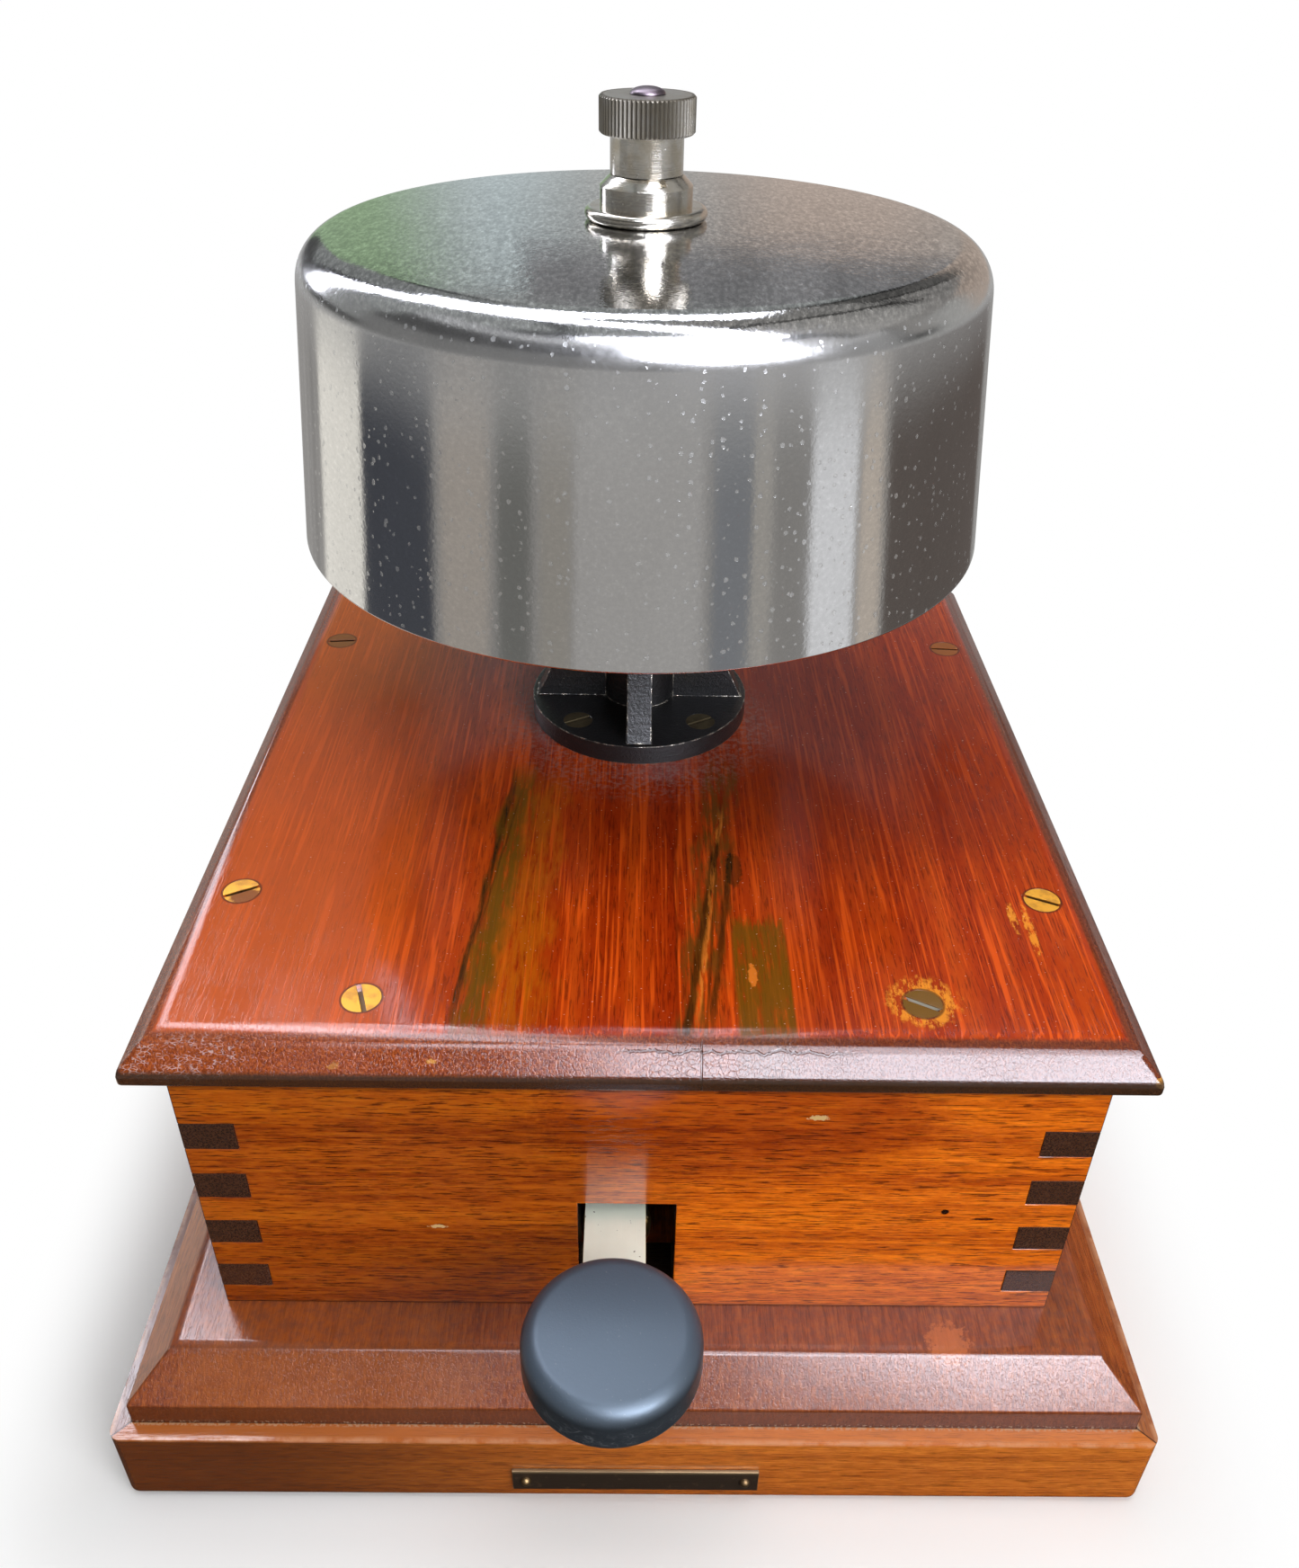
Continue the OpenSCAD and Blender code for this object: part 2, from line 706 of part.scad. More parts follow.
module side_board() {
    color(wood_dark) difference() {
        union() {
            translate([case_w / 2 - side_t, front_y + end_t, base_top])
                cube([side_t, case_d - 2 * end_t, case_h]);
            for (sy = [0, 1]) mirror([0, sy, 0]) fingers(0);
        }
        case_screw_holes();
    }
}

module left_side() { mirror([1, 0, 0]) side_board(); }
module right_side() { side_board(); }

// Lid and fasteners

module lid() {
    color(wood_red) difference() {
        bevelled_board(lid_w, lid_d, case_top, case_top + lid_edge, lid_top, lid_bevel);
        for (p = lid_screw_places)
            translate([p[0], p[1], lid_top]) countersunk_hole(lid_screw_head_r, lid_screw_r, lid_t + cut);
        for (p = foot_screw_places) post(p, case_top - cut, lid_top + cut, foot_screw_r + fix_slack);
        for (y = [slot_front_y + hammer_slot_w / 2, slot_rear_y - hammer_slot_w / 2])
            post([bell_x, y], case_top - cut, lid_top + cut, hammer_slot_w / 2);
        translate([bell_x - hammer_slot_w / 2, slot_front_y + hammer_slot_w / 2, case_top - cut])
            cube([hammer_slot_w, slot_rear_y - slot_front_y - hammer_slot_w, lid_t + 2 * cut]);
    }
}

module lid_screws() {
    color(brass) for (p = lid_screw_places)
        translate([p[0], p[1], lid_top]) countersunk_screw(lid_screw_head_r, lid_screw_r, lid_screw_l);
}

module base_screws() {
    color(steel) for (p = base_screw_places)
        translate([p[0], p[1], base_recess_h]) rotate([180, 0, 0])
            round_head_screw(lid_screw_head_r, lid_screw_r, base_screw_l);
}

module bracket_screws() {
    color(brass) {
        small_screws(key_screw_places, key_top);
        small_screws(yoke_screw_places, base_top + yoke_t);
        small_screws(gallows_screw_places, gallows_top);
        for (p = bracket_screw_places) translate([p[0], p[1], key_top + bracket_t])
            round_head_screw(small_head_r, small_r, bracket_t + key_base_t / 2);
    }
}

// Bell

module pillar() {
    rib_steps = 10;
    rib_low = lid_top + foot_t;
    rib_high = boss_top - boss_h;
    rib_edge = [for (i = [0 : rib_steps])
        [column_r + (rib_foot_r - column_r) * pow(1 - i / rib_steps, rib_sweep),
            rib_low + (rib_high - rib_low) * i / rib_steps]];
    color(iron) difference() {
        union() {
            translate([bell_x, bell_y, 0]) {
                translate([0, 0, lid_top]) cylinder(h = foot_t, r = foot_r);
                translate([0, 0, lid_top]) cylinder(h = boss_top - lid_top, r = column_r);
                translate([0, 0, boss_top - boss_h]) cylinder(h = boss_h, r = boss_r);
                for (a = [0 : 90 : 270])
                    rotate(a) rotate([90, 0, 0]) linear_extrude(rib_t, center = true)
                        polygon(concat([[0, rib_low]], rib_edge, [[0, rib_high]]));
            }
        }
        post([bell_x, bell_y], boss_top - spindle_in, boss_top + cut, spindle_r + fix_slack);
        for (p = foot_screw_places)
            translate([p[0], p[1], lid_top + foot_t])
                countersunk_hole(foot_screw_head_r, foot_screw_r, foot_t + cut);
    }
}

module pillar_screws() {
    color(brass) for (p = foot_screw_places)
        translate([p[0], p[1], lid_top + foot_t])
            rotate(foot_screw_turn) countersunk_screw(foot_screw_head_r, foot_screw_r, foot_screw_l);
}

module bell_spindle() {
    color(steel) difference() {
        post([bell_x, bell_y], boss_top - spindle_in, spindle_top, spindle_r);
        post([bell_x, bell_y], head_top + face_gap - cap_shank_l - fix_slack, spindle_top + cut,
            cap_shank_r + fix_slack);
    }
}

module seat_washer() {
    color(wood_dark) difference() {
        post([bell_x, bell_y], boss_top, boss_top + seat_t, boss_r);
        post([bell_x, bell_y], boss_top - cut, boss_top + seat_t + cut, spindle_r + run_slack);
    }
}

// Half outline of the dome's skin, from the rim up to its seat
function dome_skin(inset) =
    let (r = dome_fillet - inset, c = [crown_r, dome_h - dome_fillet])
    concat(
        [[dome_rim_r - inset / cos(wall_tilt), 0]],
        arc(c, r, wall_tilt, 90 - crown_slope, 10),
        [for (i = [1 : 6]) let (x = crown_r + (dome_seat_r - crown_r) * i / 6)
            [x, dome_h - inset + dome_rise(x)]]);

module dome() {
    outer = dome_skin(0);
    inner = dome_skin(dome_wall);
    bore = spindle_r + run_slack;
    top = dome_top - rim_z;
    color(nickel) translate([bell_x, bell_y, rim_z]) rotate_extrude($fn = 180)
        polygon(concat(outer, [[bore, top], [bore, top - dome_wall]],
            [for (i = [len(inner) - 1 : -1 : 0]) inner[i]]));
}

module dome_flange() {
    round = flange_t / 2;
    color(nickel) translate([bell_x, bell_y, dome_top]) rotate_extrude()
        polygon(concat([[spindle_r + run_slack, 0]], arc([flange_r - round, round], round, -90, 90, 12),
            [[spindle_r + run_slack, flange_t]]));
}

module dome_collar() {
    bore = spindle_r + run_slack;
    color(nickel) translate([bell_x, bell_y, flange_top]) difference() {
        rotate_extrude() polygon([[bore, 0], [collar_r, 0], [collar_r, collar_h],
            [collar_r - collar_chamfer, collar_h + collar_chamfer], [bore, collar_h + collar_chamfer]]);
        rotate(notch_turn) translate([-notch_w / 2, -collar_r, collar_h + collar_chamfer - notch_h])
            cube([notch_w, collar_r - spindle_r - notch_wall, notch_h + cut]);
    }
}

module thumb_knob() {
    tooth = 180 / knurl_count;
    edge = [for (i = [0 : 2 * knurl_count - 1])
        (head_r - knurl_depth * (i % 2)) * [cos(i * tooth), sin(i * tooth)]];
    color(nickel) difference() {
        union() {
            post([bell_x, bell_y], knob_low, head_low + cut, neck_r);
            translate([bell_x, bell_y, head_low]) intersection() {
                linear_extrude(head_h) polygon(edge);
                rotate_extrude() polygon([[0, 0], [head_r - knurl_depth, 0], [head_r, knurl_depth],
                    [head_r, head_h - knurl_depth], [head_r - knurl_depth, head_h], [0, head_h]]);
            }
        }
        post([bell_x, bell_y], knob_low - cut, spindle_top + face_gap, spindle_r + run_slack);
        post([bell_x, bell_y], knob_low, head_top + cut, cap_shank_r + run_slack);
    }
}

module cap_screw() {
    color(steel) translate([bell_x, bell_y, head_top + face_gap]) difference() {
        union() {
            rotate_extrude() polygon(concat([[0, 0], [cap_r, 0]],
                [for (i = [1 : 8]) [cap_r * cos(i * 90 / 8), cap_h * sin(i * 90 / 8)]]));
            translate([0, 0, -cap_shank_l]) cylinder(h = cap_shank_l + cap_h / 4, r = cap_shank_r);
        }
        translate([-cap_r - cut, -slot_cut / 2, cap_h / 2]) cube([2 * cap_r + 2 * cut, slot_cut, cap_h]);
    }
}

// Hammer

// Places its children at the armature's pivot, leaning back along the rod
module along_rod() {
    translate([bell_x, arm_pivot_y, arm_pivot_z]) rotate([-rod_lean, 0, 0]) children();
}

module hammer_head() {
    color(brass) along_rod() difference() {
        union() {
            translate([0, 0, rod_l]) sphere(r = hammer_r);
            translate([0, 0, rod_l - hammer_r - rod_r]) cylinder(h = hammer_r, r = 2 * rod_r);
        }
        cylinder(h = rod_l, r = rod_r + fix_slack);
    }
}

module hammer_rod() {
    color(steel) along_rod() translate([0, 0, rod_low])
        cylinder(h = rod_l - rod_low - fix_slack, r = rod_r);
}

module armature() {
    color(steel) difference() {
        union() {
            translate([bell_x - armature_w / 2, armature_front, mag_z - armature_below])
                cube([armature_w, armature_t, pivot_over + armature_below]);
            rod_x([bell_x, arm_pivot_y, arm_pivot_z], armature_w, hub_r);
            along_rod() cylinder(h = hub_r + socket_l, r = socket_r);
            translate([bell_x - socket_r, spring_y - socket_r, tail_low])
                cube([2 * socket_r, spring_ahead + socket_r, hub_r]);
            post([bell_x, spring_y], tail_low - hub_r, tail_low + cut, spring_plug_r);
        }
        rod_x([bell_x, arm_pivot_y, arm_pivot_z], armature_w + 2 * cut, armature_pin_r + run_slack);
        along_rod() translate([0, 0, rod_low - fix_slack])
            cylinder(h = socket_l + cut, r = rod_r + fix_slack);
    }
}

module armature_pin() {
    color(steel) rod_x([bell_x, arm_pivot_y, arm_pivot_z], gallows_w, armature_pin_r);
}

module armature_bracket() {
    cheek_y = arm_pivot_y - cheek_d / 2;
    color(brass) difference() {
        union() {
            translate([bell_x - gallows_w / 2, cheek_y, base_top])
                cube([gallows_w, cheek_d / 2 + gallows_rear, gallows_foot_t]);
            for (side = [-1, 1]) translate([bell_x + side * (cheek_x + cheek_t / 2), 0, 0]) {
                translate([-cheek_t / 2, cheek_y, base_top])
                    cube([cheek_t, cheek_d, arm_pivot_z - base_top]);
                rod_x([0, arm_pivot_y, arm_pivot_z], cheek_t, cheek_d / 2);
            }
        }
        rod_x([bell_x, arm_pivot_y, arm_pivot_z], gallows_w + 2 * cut, armature_pin_r + fix_slack);
        small_holes(gallows_screw_places, gallows_top);
    }
}

module armature_spring() {
    color(steel) coil_spring([bell_x, spring_y], spring_low - hub_r, tail_low - fix_slack,
        armature_spring_r, armature_wire_r, armature_turns);
}

module spring_post() {
    color(brass) {
        post([bell_x, spring_y], base_top - small_l, base_top + cut, rod_r);
        post([bell_x, spring_y], base_top, spring_low - hub_r - fix_slack,
            armature_spring_r + armature_wire_r);
        post([bell_x, spring_y], base_top, spring_low, spring_plug_r);
    }
}

// Magnet

module yoke() {
    color(iron) difference() {
        union() {
            translate([bell_x - yoke_w / 2, yoke_face - yoke_t, base_top]) {
                cube([yoke_w, yoke_t, coil_z + yoke_over]);
                cube([yoke_w, yoke_t + yoke_foot, yoke_t]);
            }
        }
        for (x = coil_places)
            rod_y([x, yoke_face - yoke_t - cut, mag_z], yoke_t + 2 * cut, core_r / 2 + fix_slack);
        small_holes(yoke_screw_places, base_top + yoke_t);
    }
}

module core(x) {
    color(steel) {
        rod_y([x, yoke_face - yoke_t, mag_z], yoke_t + cut, core_r / 2);
        rod_y([x, yoke_face, mag_z], pole_face - yoke_face, core_r);
    }
}

module bobbin(x) {
    color(ebonite) difference() {
        union() {
            rod_y([x, yoke_face, mag_z], bobbin_t, bobbin_r);
            rod_y([x, bobbin_rear - bobbin_t, mag_z], bobbin_t, bobbin_r);
            rod_y([x, yoke_face, mag_z], bobbin_l, core_r + fix_slack + bobbin_wall);
        }
        rod_y([x, yoke_face - cut, mag_z], bobbin_l + 2 * cut, core_r + fix_slack);
    }
}

module winding(x) {
    color(copper) difference() {
        rod_y([x, yoke_face + bobbin_t, mag_z], bobbin_l - 2 * bobbin_t, winding_r);
        rod_y([x, yoke_face, mag_z], bobbin_l, core_r + 2 * fix_slack + bobbin_wall);
    }
}

module left_core() { core(coil_places[0]); }
module right_core() { core(coil_places[1]); }
module left_bobbin() { bobbin(coil_places[0]); }
module right_bobbin() { bobbin(coil_places[1]); }
module left_winding() { winding(coil_places[0]); }
module right_winding() { winding(coil_places[1]); }

module backstop_bracket() {
    color(brass) difference() {
        translate([bell_x - backstop_w / 2, backstop_up_y, gallows_top])
            cube([backstop_w, backstop_t, backstop_z + backstop_w / 2 - gallows_top]);
        rod_y([bell_x, backstop_up_y - cut, backstop_z], backstop_t + 2 * cut, backstop_r + fix_slack);
    }
}

module backstop_screw() {
    color(brass) {
        rod_y([bell_x, backstop_tip, backstop_z], backstop_end - backstop_tip, backstop_r);
        rod_y([bell_x, backstop_end - backstop_head_t, backstop_z], backstop_head_t, 2 * backstop_r);
    }
}

module backstop_nut() {
    color(brass) difference() {
        translate([bell_x, backstop_up_y + backstop_t, backstop_z]) rotate([-90, 0, 0])
            cylinder(h = backstop_nut_t, r = 2 * backstop_r, $fn = 6);
        rod_y([bell_x, backstop_up_y, backstop_z], 2 * backstop_nut_t + backstop_t, backstop_r + fix_slack);
    }
}

// Tapper

module tapper_lever() {
    color(brass) difference() {
        union() {
            translate([tapper_x - lever_w / 2, knob_y, lever_low])
                cube([lever_w, pivot_y + tail_l - knob_y, lever_t]);
            post([tapper_x, knob_y], lever_low, lever_top, lever_w / 2);
            rod_x([tapper_x, pivot_y, pivot_z], lever_w, barrel_r);
            translate([tapper_x - lever_w / 2, pivot_y - barrel_r, pivot_z])
                cube([lever_w, 2 * barrel_r, pivot_drop + cut]);
        }
        rod_x([tapper_x, pivot_y, pivot_z], lever_w + 2 * cut, tapper_pin_r + run_slack);
        post([tapper_x, knob_y], lever_low - cut, lever_top + cut, small_r + fix_slack);
    }
}

module tapper_knob() {
    color(ebonite) translate([tapper_x, knob_y, lever_top]) difference() {
        rotate_extrude($fn = 96) polygon(concat([[0, 0]],
            arc([knob_r - knob_round_low, knob_round_low], knob_round_low, -90, 0, 8),
            arc([knob_r - knob_round_top, knob_t - knob_round_top], knob_round_top, 0, 90, 10),
            [[0, knob_t]]));
        translate([0, 0, -cut]) cylinder(h = small_l / 2 + cut + fix_slack, r = small_r + fix_slack);
    }
}

module tapper_knob_screw() {
    color(steel) translate([tapper_x, knob_y, lever_low]) rotate([180, 0, 0])
        round_head_screw(small_head_r, small_r, lever_t + small_l / 2);
}

module tapper_pin() {
    color(steel) rod_x([tapper_x, pivot_y, pivot_z], 2 * (bracket_x + bracket_t), tapper_pin_r);
}

module tapper_bracket() {
    foot_x = bracket_screw_x + small_head_r;
    color(brass) difference() {
        union() {
            translate([tapper_x - foot_x, pivot_y - bracket_foot_l / 2, key_top])
                cube([2 * foot_x, bracket_foot_l, bracket_t]);
            for (side = [-1, 1]) translate([tapper_x + side * (bracket_x + bracket_t / 2), 0, 0]) {
                translate([-bracket_t / 2, pivot_y - barrel_r, key_top])
                    cube([bracket_t, 2 * barrel_r, pivot_z - key_top]);
                rod_x([0, pivot_y, pivot_z], bracket_t, barrel_r);
            }
        }
        rod_x([tapper_x, pivot_y, pivot_z], 2 * foot_x, tapper_pin_r + fix_slack);
        for (p = bracket_screw_places)
            post(p, key_top - cut, key_top + bracket_t + cut, small_r + fix_slack);
    }
}

module tapper_spring() {
    color(steel) coil_spring([tapper_x, stop_y], base_top + stop_foot_t + fix_slack, lever_low - face_gap,
        tapper_spring_r, tapper_wire_r, tapper_turns);
}

module down_stop_post() {
    color(brass) {
        post([tapper_x, stop_y], base_top - small_l, base_top + cut, stop_r / 2);
        post([tapper_x, stop_y], base_top, base_top + stop_foot_t, stop_foot_r);
        post([tapper_x, stop_y], base_top, stop_top, stop_r);
    }
}

module key_base() {
    color(ebonite) difference() {
        translate([tapper_x - key_base_w / 2, pivot_y - key_front, base_top])
            cube([key_base_w, key_front + key_rear, key_base_t]);
        small_holes(key_screw_places, key_top);
        for (p = bracket_screw_places)
            post(p, key_top - key_base_t / 2 - fix_slack, key_top + cut, small_r + fix_slack);
        for (y = [pivot_y - contact_front, pivot_y + contact_back])
            post([tapper_x, y], key_top - key_base_t / 2 - fix_slack, key_top + cut,
                contact_r / 2 + fix_slack);
    }
}

module contact_post(y, top) {
    color(brass) {
        post([tapper_x, y], key_top - key_base_t / 2, key_top + cut, contact_r / 2);
        post([tapper_x, y], key_top, top, contact_r);
    }
}

module front_contact() { contact_post(pivot_y - contact_front, front_contact_top); }
module back_contact() { contact_post(pivot_y + contact_back, back_contact_top); }

// Terminals and leads

module terminal_board() {
    color(ebonite) difference() {
        translate([bell_x - terminal_w / 2, terminal_y, stud_z - terminal_h / 2])
            cube([terminal_w, terminal_t, terminal_h]);
        for (x = stud_places)
            rod_y([x, terminal_y - cut, stud_z], terminal_t / 2 + cut + fix_slack, stud_r + fix_slack);
        for (x = board_screw_places)
            rod_y([x, terminal_y - cut, stud_z], terminal_t + 2 * cut, small_r + fix_slack);
    }
}

module terminal_studs() {
    color(brass) for (x = stud_places)
        rod_y([x, terminal_y - stud_l, stud_z], stud_l + terminal_t / 2, stud_r);
}

module terminal_nuts() {
    color(brass) for (x = stud_places) difference() {
        rod_y([x, terminal_y - nut_t, stud_z], nut_t, nut_r);
        rod_y([x, terminal_y - nut_t - cut, stud_z], nut_t + 2 * cut, stud_r + fix_slack);
    }
}

module terminal_board_screws() {
    color(brass) for (x = board_screw_places)
        translate([x, terminal_y, stud_z]) rotate([90, 0, 0])
            round_head_screw(small_head_r, small_r, small_l);
}

module wire_bush() {
    color(ebonite) difference() {
        union() {
            rod_y([entry_x, rear_y - end_t, base_top + entry_z], end_t + cut, entry_r);
            rod_y([entry_x, rear_y, base_top + entry_z], entry_flange_t, entry_flange_r);
        }
        rod_y([entry_x, rear_y - end_t - cut, base_top + entry_z],
            end_t + entry_flange_t + 2 * cut, entry_bore_r);
    }
}

// Direction of a route at one of its points
function route_way(route, i) =
    let (d = route[min(i + 1, len(route) - 1)] - route[max(i - 1, 0)]) d / norm(d);

// An insulated lead swept along a list of points
module lead(route) {
    sides = 8;
    last = len(route) - 1;
    rings = [for (i = [0 : last], k = [0 : sides - 1])
        let (way = route_way(route, i), across = cross(way, lead_up), u = across / norm(across))
        route[i] + lead_r * (cos(360 * k / sides) * u - sin(360 * k / sides) * cross(way, u))];
    swept(rings, last, sides);
}

// The end of each route: along a side, across to a terminal and up to its nut
function to_terminal(side_x, stud_x, lane) =
    let (off = lane * (2 * lead_r + head_room))
    let (y = terminal_y - lead_r - fix_slack - off, z = lead_z + off)
    [[side_x, terminal_y - stud_l, lead_z], [side_x, y, z], [stud_x, y, z],
        [stud_x, y, stud_z - nut_r - fix_slack]];

module leads() {
    coil_y = bobbin_rear - bobbin_t / 2;
    color(copper) for (side = [0, 1]) {
        way = 2 * side - 1;
        coil_out = bell_x + way * (gallows_w / 2 + lead_out);
        key_out = bell_x + way * (yoke_w / 2 + 2 * lead_out);
        key_y = side == 0 ? pivot_y - contact_front : pivot_y + contact_back;
        key_edge = tapper_x + way * key_base_w / 2;
        lead(concat([[coil_places[side], coil_y, mag_z - bobbin_r - lead_r - fix_slack],
            [coil_out, coil_y, lead_z]], to_terminal(coil_out, stud_places[3 * side], 0)));
        lead(concat([[tapper_x + way * (contact_r + fix_slack), key_y, key_lead_z],
            [key_edge, key_y, key_lead_z], [key_out, key_y, lead_z]],
            to_terminal(key_out, stud_places[1 + side], 1)));
    }
}

// Name plate

module plate_pin_places() {
    for (side = [-1, 1])
        translate([side * (plate_w / 2 - plate_pin_inset), -base_d / 2, plate_z]) children();
}

module name_plate() {
    color(brass) difference() {
        translate([-plate_w / 2, -base_d / 2 - plate_t, plate_z - plate_h / 2])
            cube([plate_w, plate_t, plate_h]);
        plate_pin_places() rod_y([0, -plate_t - cut, 0], plate_t + 2 * cut, plate_pin_r + fix_slack);
    }
}

module name_plate_pins() {
    color(brass) plate_pin_places() {
        translate([0, -plate_t, 0]) rotate([90, 0, 0])
            rotate_extrude() polygon(concat([[0, 0]], arc([0, 0], plate_pin_head_r, 0, 90, 6)));
        rod_y([0, -plate_t, 0], plate_t + plate_pin_l - fix_slack, plate_pin_r);
    }
}

baseboard();
front_rail();
rear_rail();
left_rail();
right_rail();
case_front();
case_rear();
left_side();
right_side();
lid();
lid_screws();
base_screws();
pillar();
pillar_screws();
bell_spindle();
seat_washer();
dome();
dome_flange();
dome_collar();
thumb_knob();
cap_screw();
hammer_head();
hammer_rod();
armature();
armature_pin();
armature_bracket();
armature_spring();
spring_post();
yoke();
left_core();
right_core();
left_bobbin();
right_bobbin();
left_winding();
right_winding();
backstop_bracket();
backstop_screw();
backstop_nut();
tapper_lever();
tapper_knob();
tapper_knob_screw();
tapper_pin();
tapper_bracket();
tapper_spring();
down_stop_post();
key_base();
front_contact();
back_contact();
bracket_screws();
terminal_board();
terminal_studs();
terminal_nuts();
terminal_board_screws();
wire_bush();
leads();
name_plate();
name_plate_pins();
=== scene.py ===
import math

import bmesh
import bpy
from mathutils import Matrix, Vector


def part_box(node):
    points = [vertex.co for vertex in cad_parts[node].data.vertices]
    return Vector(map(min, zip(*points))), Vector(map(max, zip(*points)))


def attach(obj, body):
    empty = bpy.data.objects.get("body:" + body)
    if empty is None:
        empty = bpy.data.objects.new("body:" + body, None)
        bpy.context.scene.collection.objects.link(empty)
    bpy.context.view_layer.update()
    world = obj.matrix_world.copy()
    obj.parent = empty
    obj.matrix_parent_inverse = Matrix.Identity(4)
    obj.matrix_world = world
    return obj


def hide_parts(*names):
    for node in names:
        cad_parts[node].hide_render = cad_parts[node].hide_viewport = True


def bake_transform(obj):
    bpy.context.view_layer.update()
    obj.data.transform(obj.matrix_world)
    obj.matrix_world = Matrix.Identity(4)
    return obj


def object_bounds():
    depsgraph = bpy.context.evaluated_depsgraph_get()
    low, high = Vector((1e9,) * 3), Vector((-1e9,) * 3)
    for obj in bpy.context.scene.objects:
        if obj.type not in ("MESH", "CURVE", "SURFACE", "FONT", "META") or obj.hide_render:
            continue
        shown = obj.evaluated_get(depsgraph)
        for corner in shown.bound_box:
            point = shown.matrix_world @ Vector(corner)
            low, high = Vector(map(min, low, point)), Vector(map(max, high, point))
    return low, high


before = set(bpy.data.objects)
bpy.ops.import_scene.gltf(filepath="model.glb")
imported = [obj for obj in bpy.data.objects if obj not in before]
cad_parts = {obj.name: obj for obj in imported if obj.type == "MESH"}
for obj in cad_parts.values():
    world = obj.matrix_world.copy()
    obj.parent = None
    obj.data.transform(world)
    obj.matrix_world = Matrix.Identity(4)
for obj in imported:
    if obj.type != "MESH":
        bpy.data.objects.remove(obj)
cad_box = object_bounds()

# Baseboard: one mahogany board with an upright step and a broad bevel, its grain front to back.
# The arrises are rubbed round under several coats of varnish, and dust lies where it meets the rails.
MM = 0.001
NEAR = 0.1 * MM


class Shade:
    """A socket of a material's nodes, so that shader maths reads as a plain expression."""

    def __init__(self, tree, socket=None):
        self.tree = tree
        self.socket = socket

    def node(self, kind, sockets=None, output=0, stops=(), **settings):
        """Adds a node of any kind, with its settings, a ramp's stops, and its sockets' values or links."""
        made = self.tree.nodes.new(kind)
        for name, value in settings.items():
            setattr(made, name, value)
        for count, (at, colour) in enumerate(stops):
            if count >= len(made.color_ramp.elements):
                made.color_ramp.elements.new(at)
            made.color_ramp.elements[count].position = at
            made.color_ramp.elements[count].color = (*colour, 1)
        for key, value in (sockets or {}).items():
            if isinstance(value, Shade):
                self.tree.links.new(value.socket, made.inputs[key])
            else:
                made.inputs[key].default_value = value
        return Shade(self.tree, made.outputs[output] if made.outputs else None)

    def math(self, operation, *values):
        return self.node("ShaderNodeMath", dict(enumerate(values)), operation=operation)

    def vector(self, operation, *values, output=0):
        sockets = dict(enumerate(values))
        return self.node("ShaderNodeVectorMath", sockets, output=output, operation=operation)

    def __add__(self, other):
        return self.math("ADD", self, other)

    def __sub__(self, other):
        return self.math("SUBTRACT", self, other)

    def __rsub__(self, other):
        return self.math("SUBTRACT", other, self)

    def __mul__(self, other):
        return self.math("MULTIPLY", self, other)

    def __abs__(self):
        return self.math("ABSOLUTE", self)


def new_finish(name):
    """A new material, and the place on the piece in millimetres, where its shader maths starts."""
    material = bpy.data.materials.new(name)
    material.use_nodes = True
    material.node_tree.nodes.clear()
    here = Shade(material.node_tree).node("ShaderNodeTexCoord", output="Object")
    return material, here.node("ShaderNodeVectorMath", {0: here, "Scale": 1 / MM}, operation="SCALE")


def close_finish(place, height, depth, **sockets):
    """Ends a material in a Principled shader; height is its relief, over a depth in millimetres."""
    bump = place.node("ShaderNodeBump", {"Height": height, "Distance": depth * MM})
    named = {key.replace("_", " "): value for key, value in sockets.items()}
    surface = place.node("ShaderNodeBsdfPrincipled", {**named, "Normal": bump})
    place.node("ShaderNodeOutputMaterial", {"Surface": surface})


def stretched(place, factors):
    return place.vector("MULTIPLY", place, factors)


def noise(place, scale, detail=2.0, roughness=0.5, output=0):
    sockets = {"Vector": place, "Scale": scale, "Detail": detail, "Roughness": roughness}
    return place.node("ShaderNodeTexNoise", sockets, output=output)


def step(value, low, high):
    """0 at low and 1 at high, with a soft run between them."""
    return value.node("ShaderNodeMapRange", {0: value, 1: low, 2: high}, interpolation_type="SMOOTHSTEP")


def mix(share, first, second, how="MIX"):
    """One colour over another, by a share that varies over the surface."""
    colours = [value if isinstance(value, Shade) else (*value, 1) for value in (first, second)]
    sockets = {0: share, 6: colours[0], 7: colours[1]}
    return share.node("ShaderNodeMix", sockets, output=2, data_type="RGBA", blend_type=how)


def ramp(value, stops):
    """A run of colours along a value; each stop is a value and its colour."""
    return value.node("ShaderNodeValToRGB", {0: value}, stops=stops)


def axis(place, index):
    """The place along X, Y or Z, in millimetres."""
    return place.node("ShaderNodeSeparateXYZ", {0: place}, output=index)


def spot(place, centre, size, ragged=0.0):
    """1 inside an ellipsoid, fading to 0 outside it; ragged breaks up its edge."""
    off = place.vector("DIVIDE", place.vector("SUBTRACT", place, centre), size)
    far = place.vector("LENGTH", off, output="Value")
    if ragged:
        far = far + (noise(place, 0.9, 4.0, 0.65) - 0.5) * ragged
    return step(far, 1.15, 0.8)


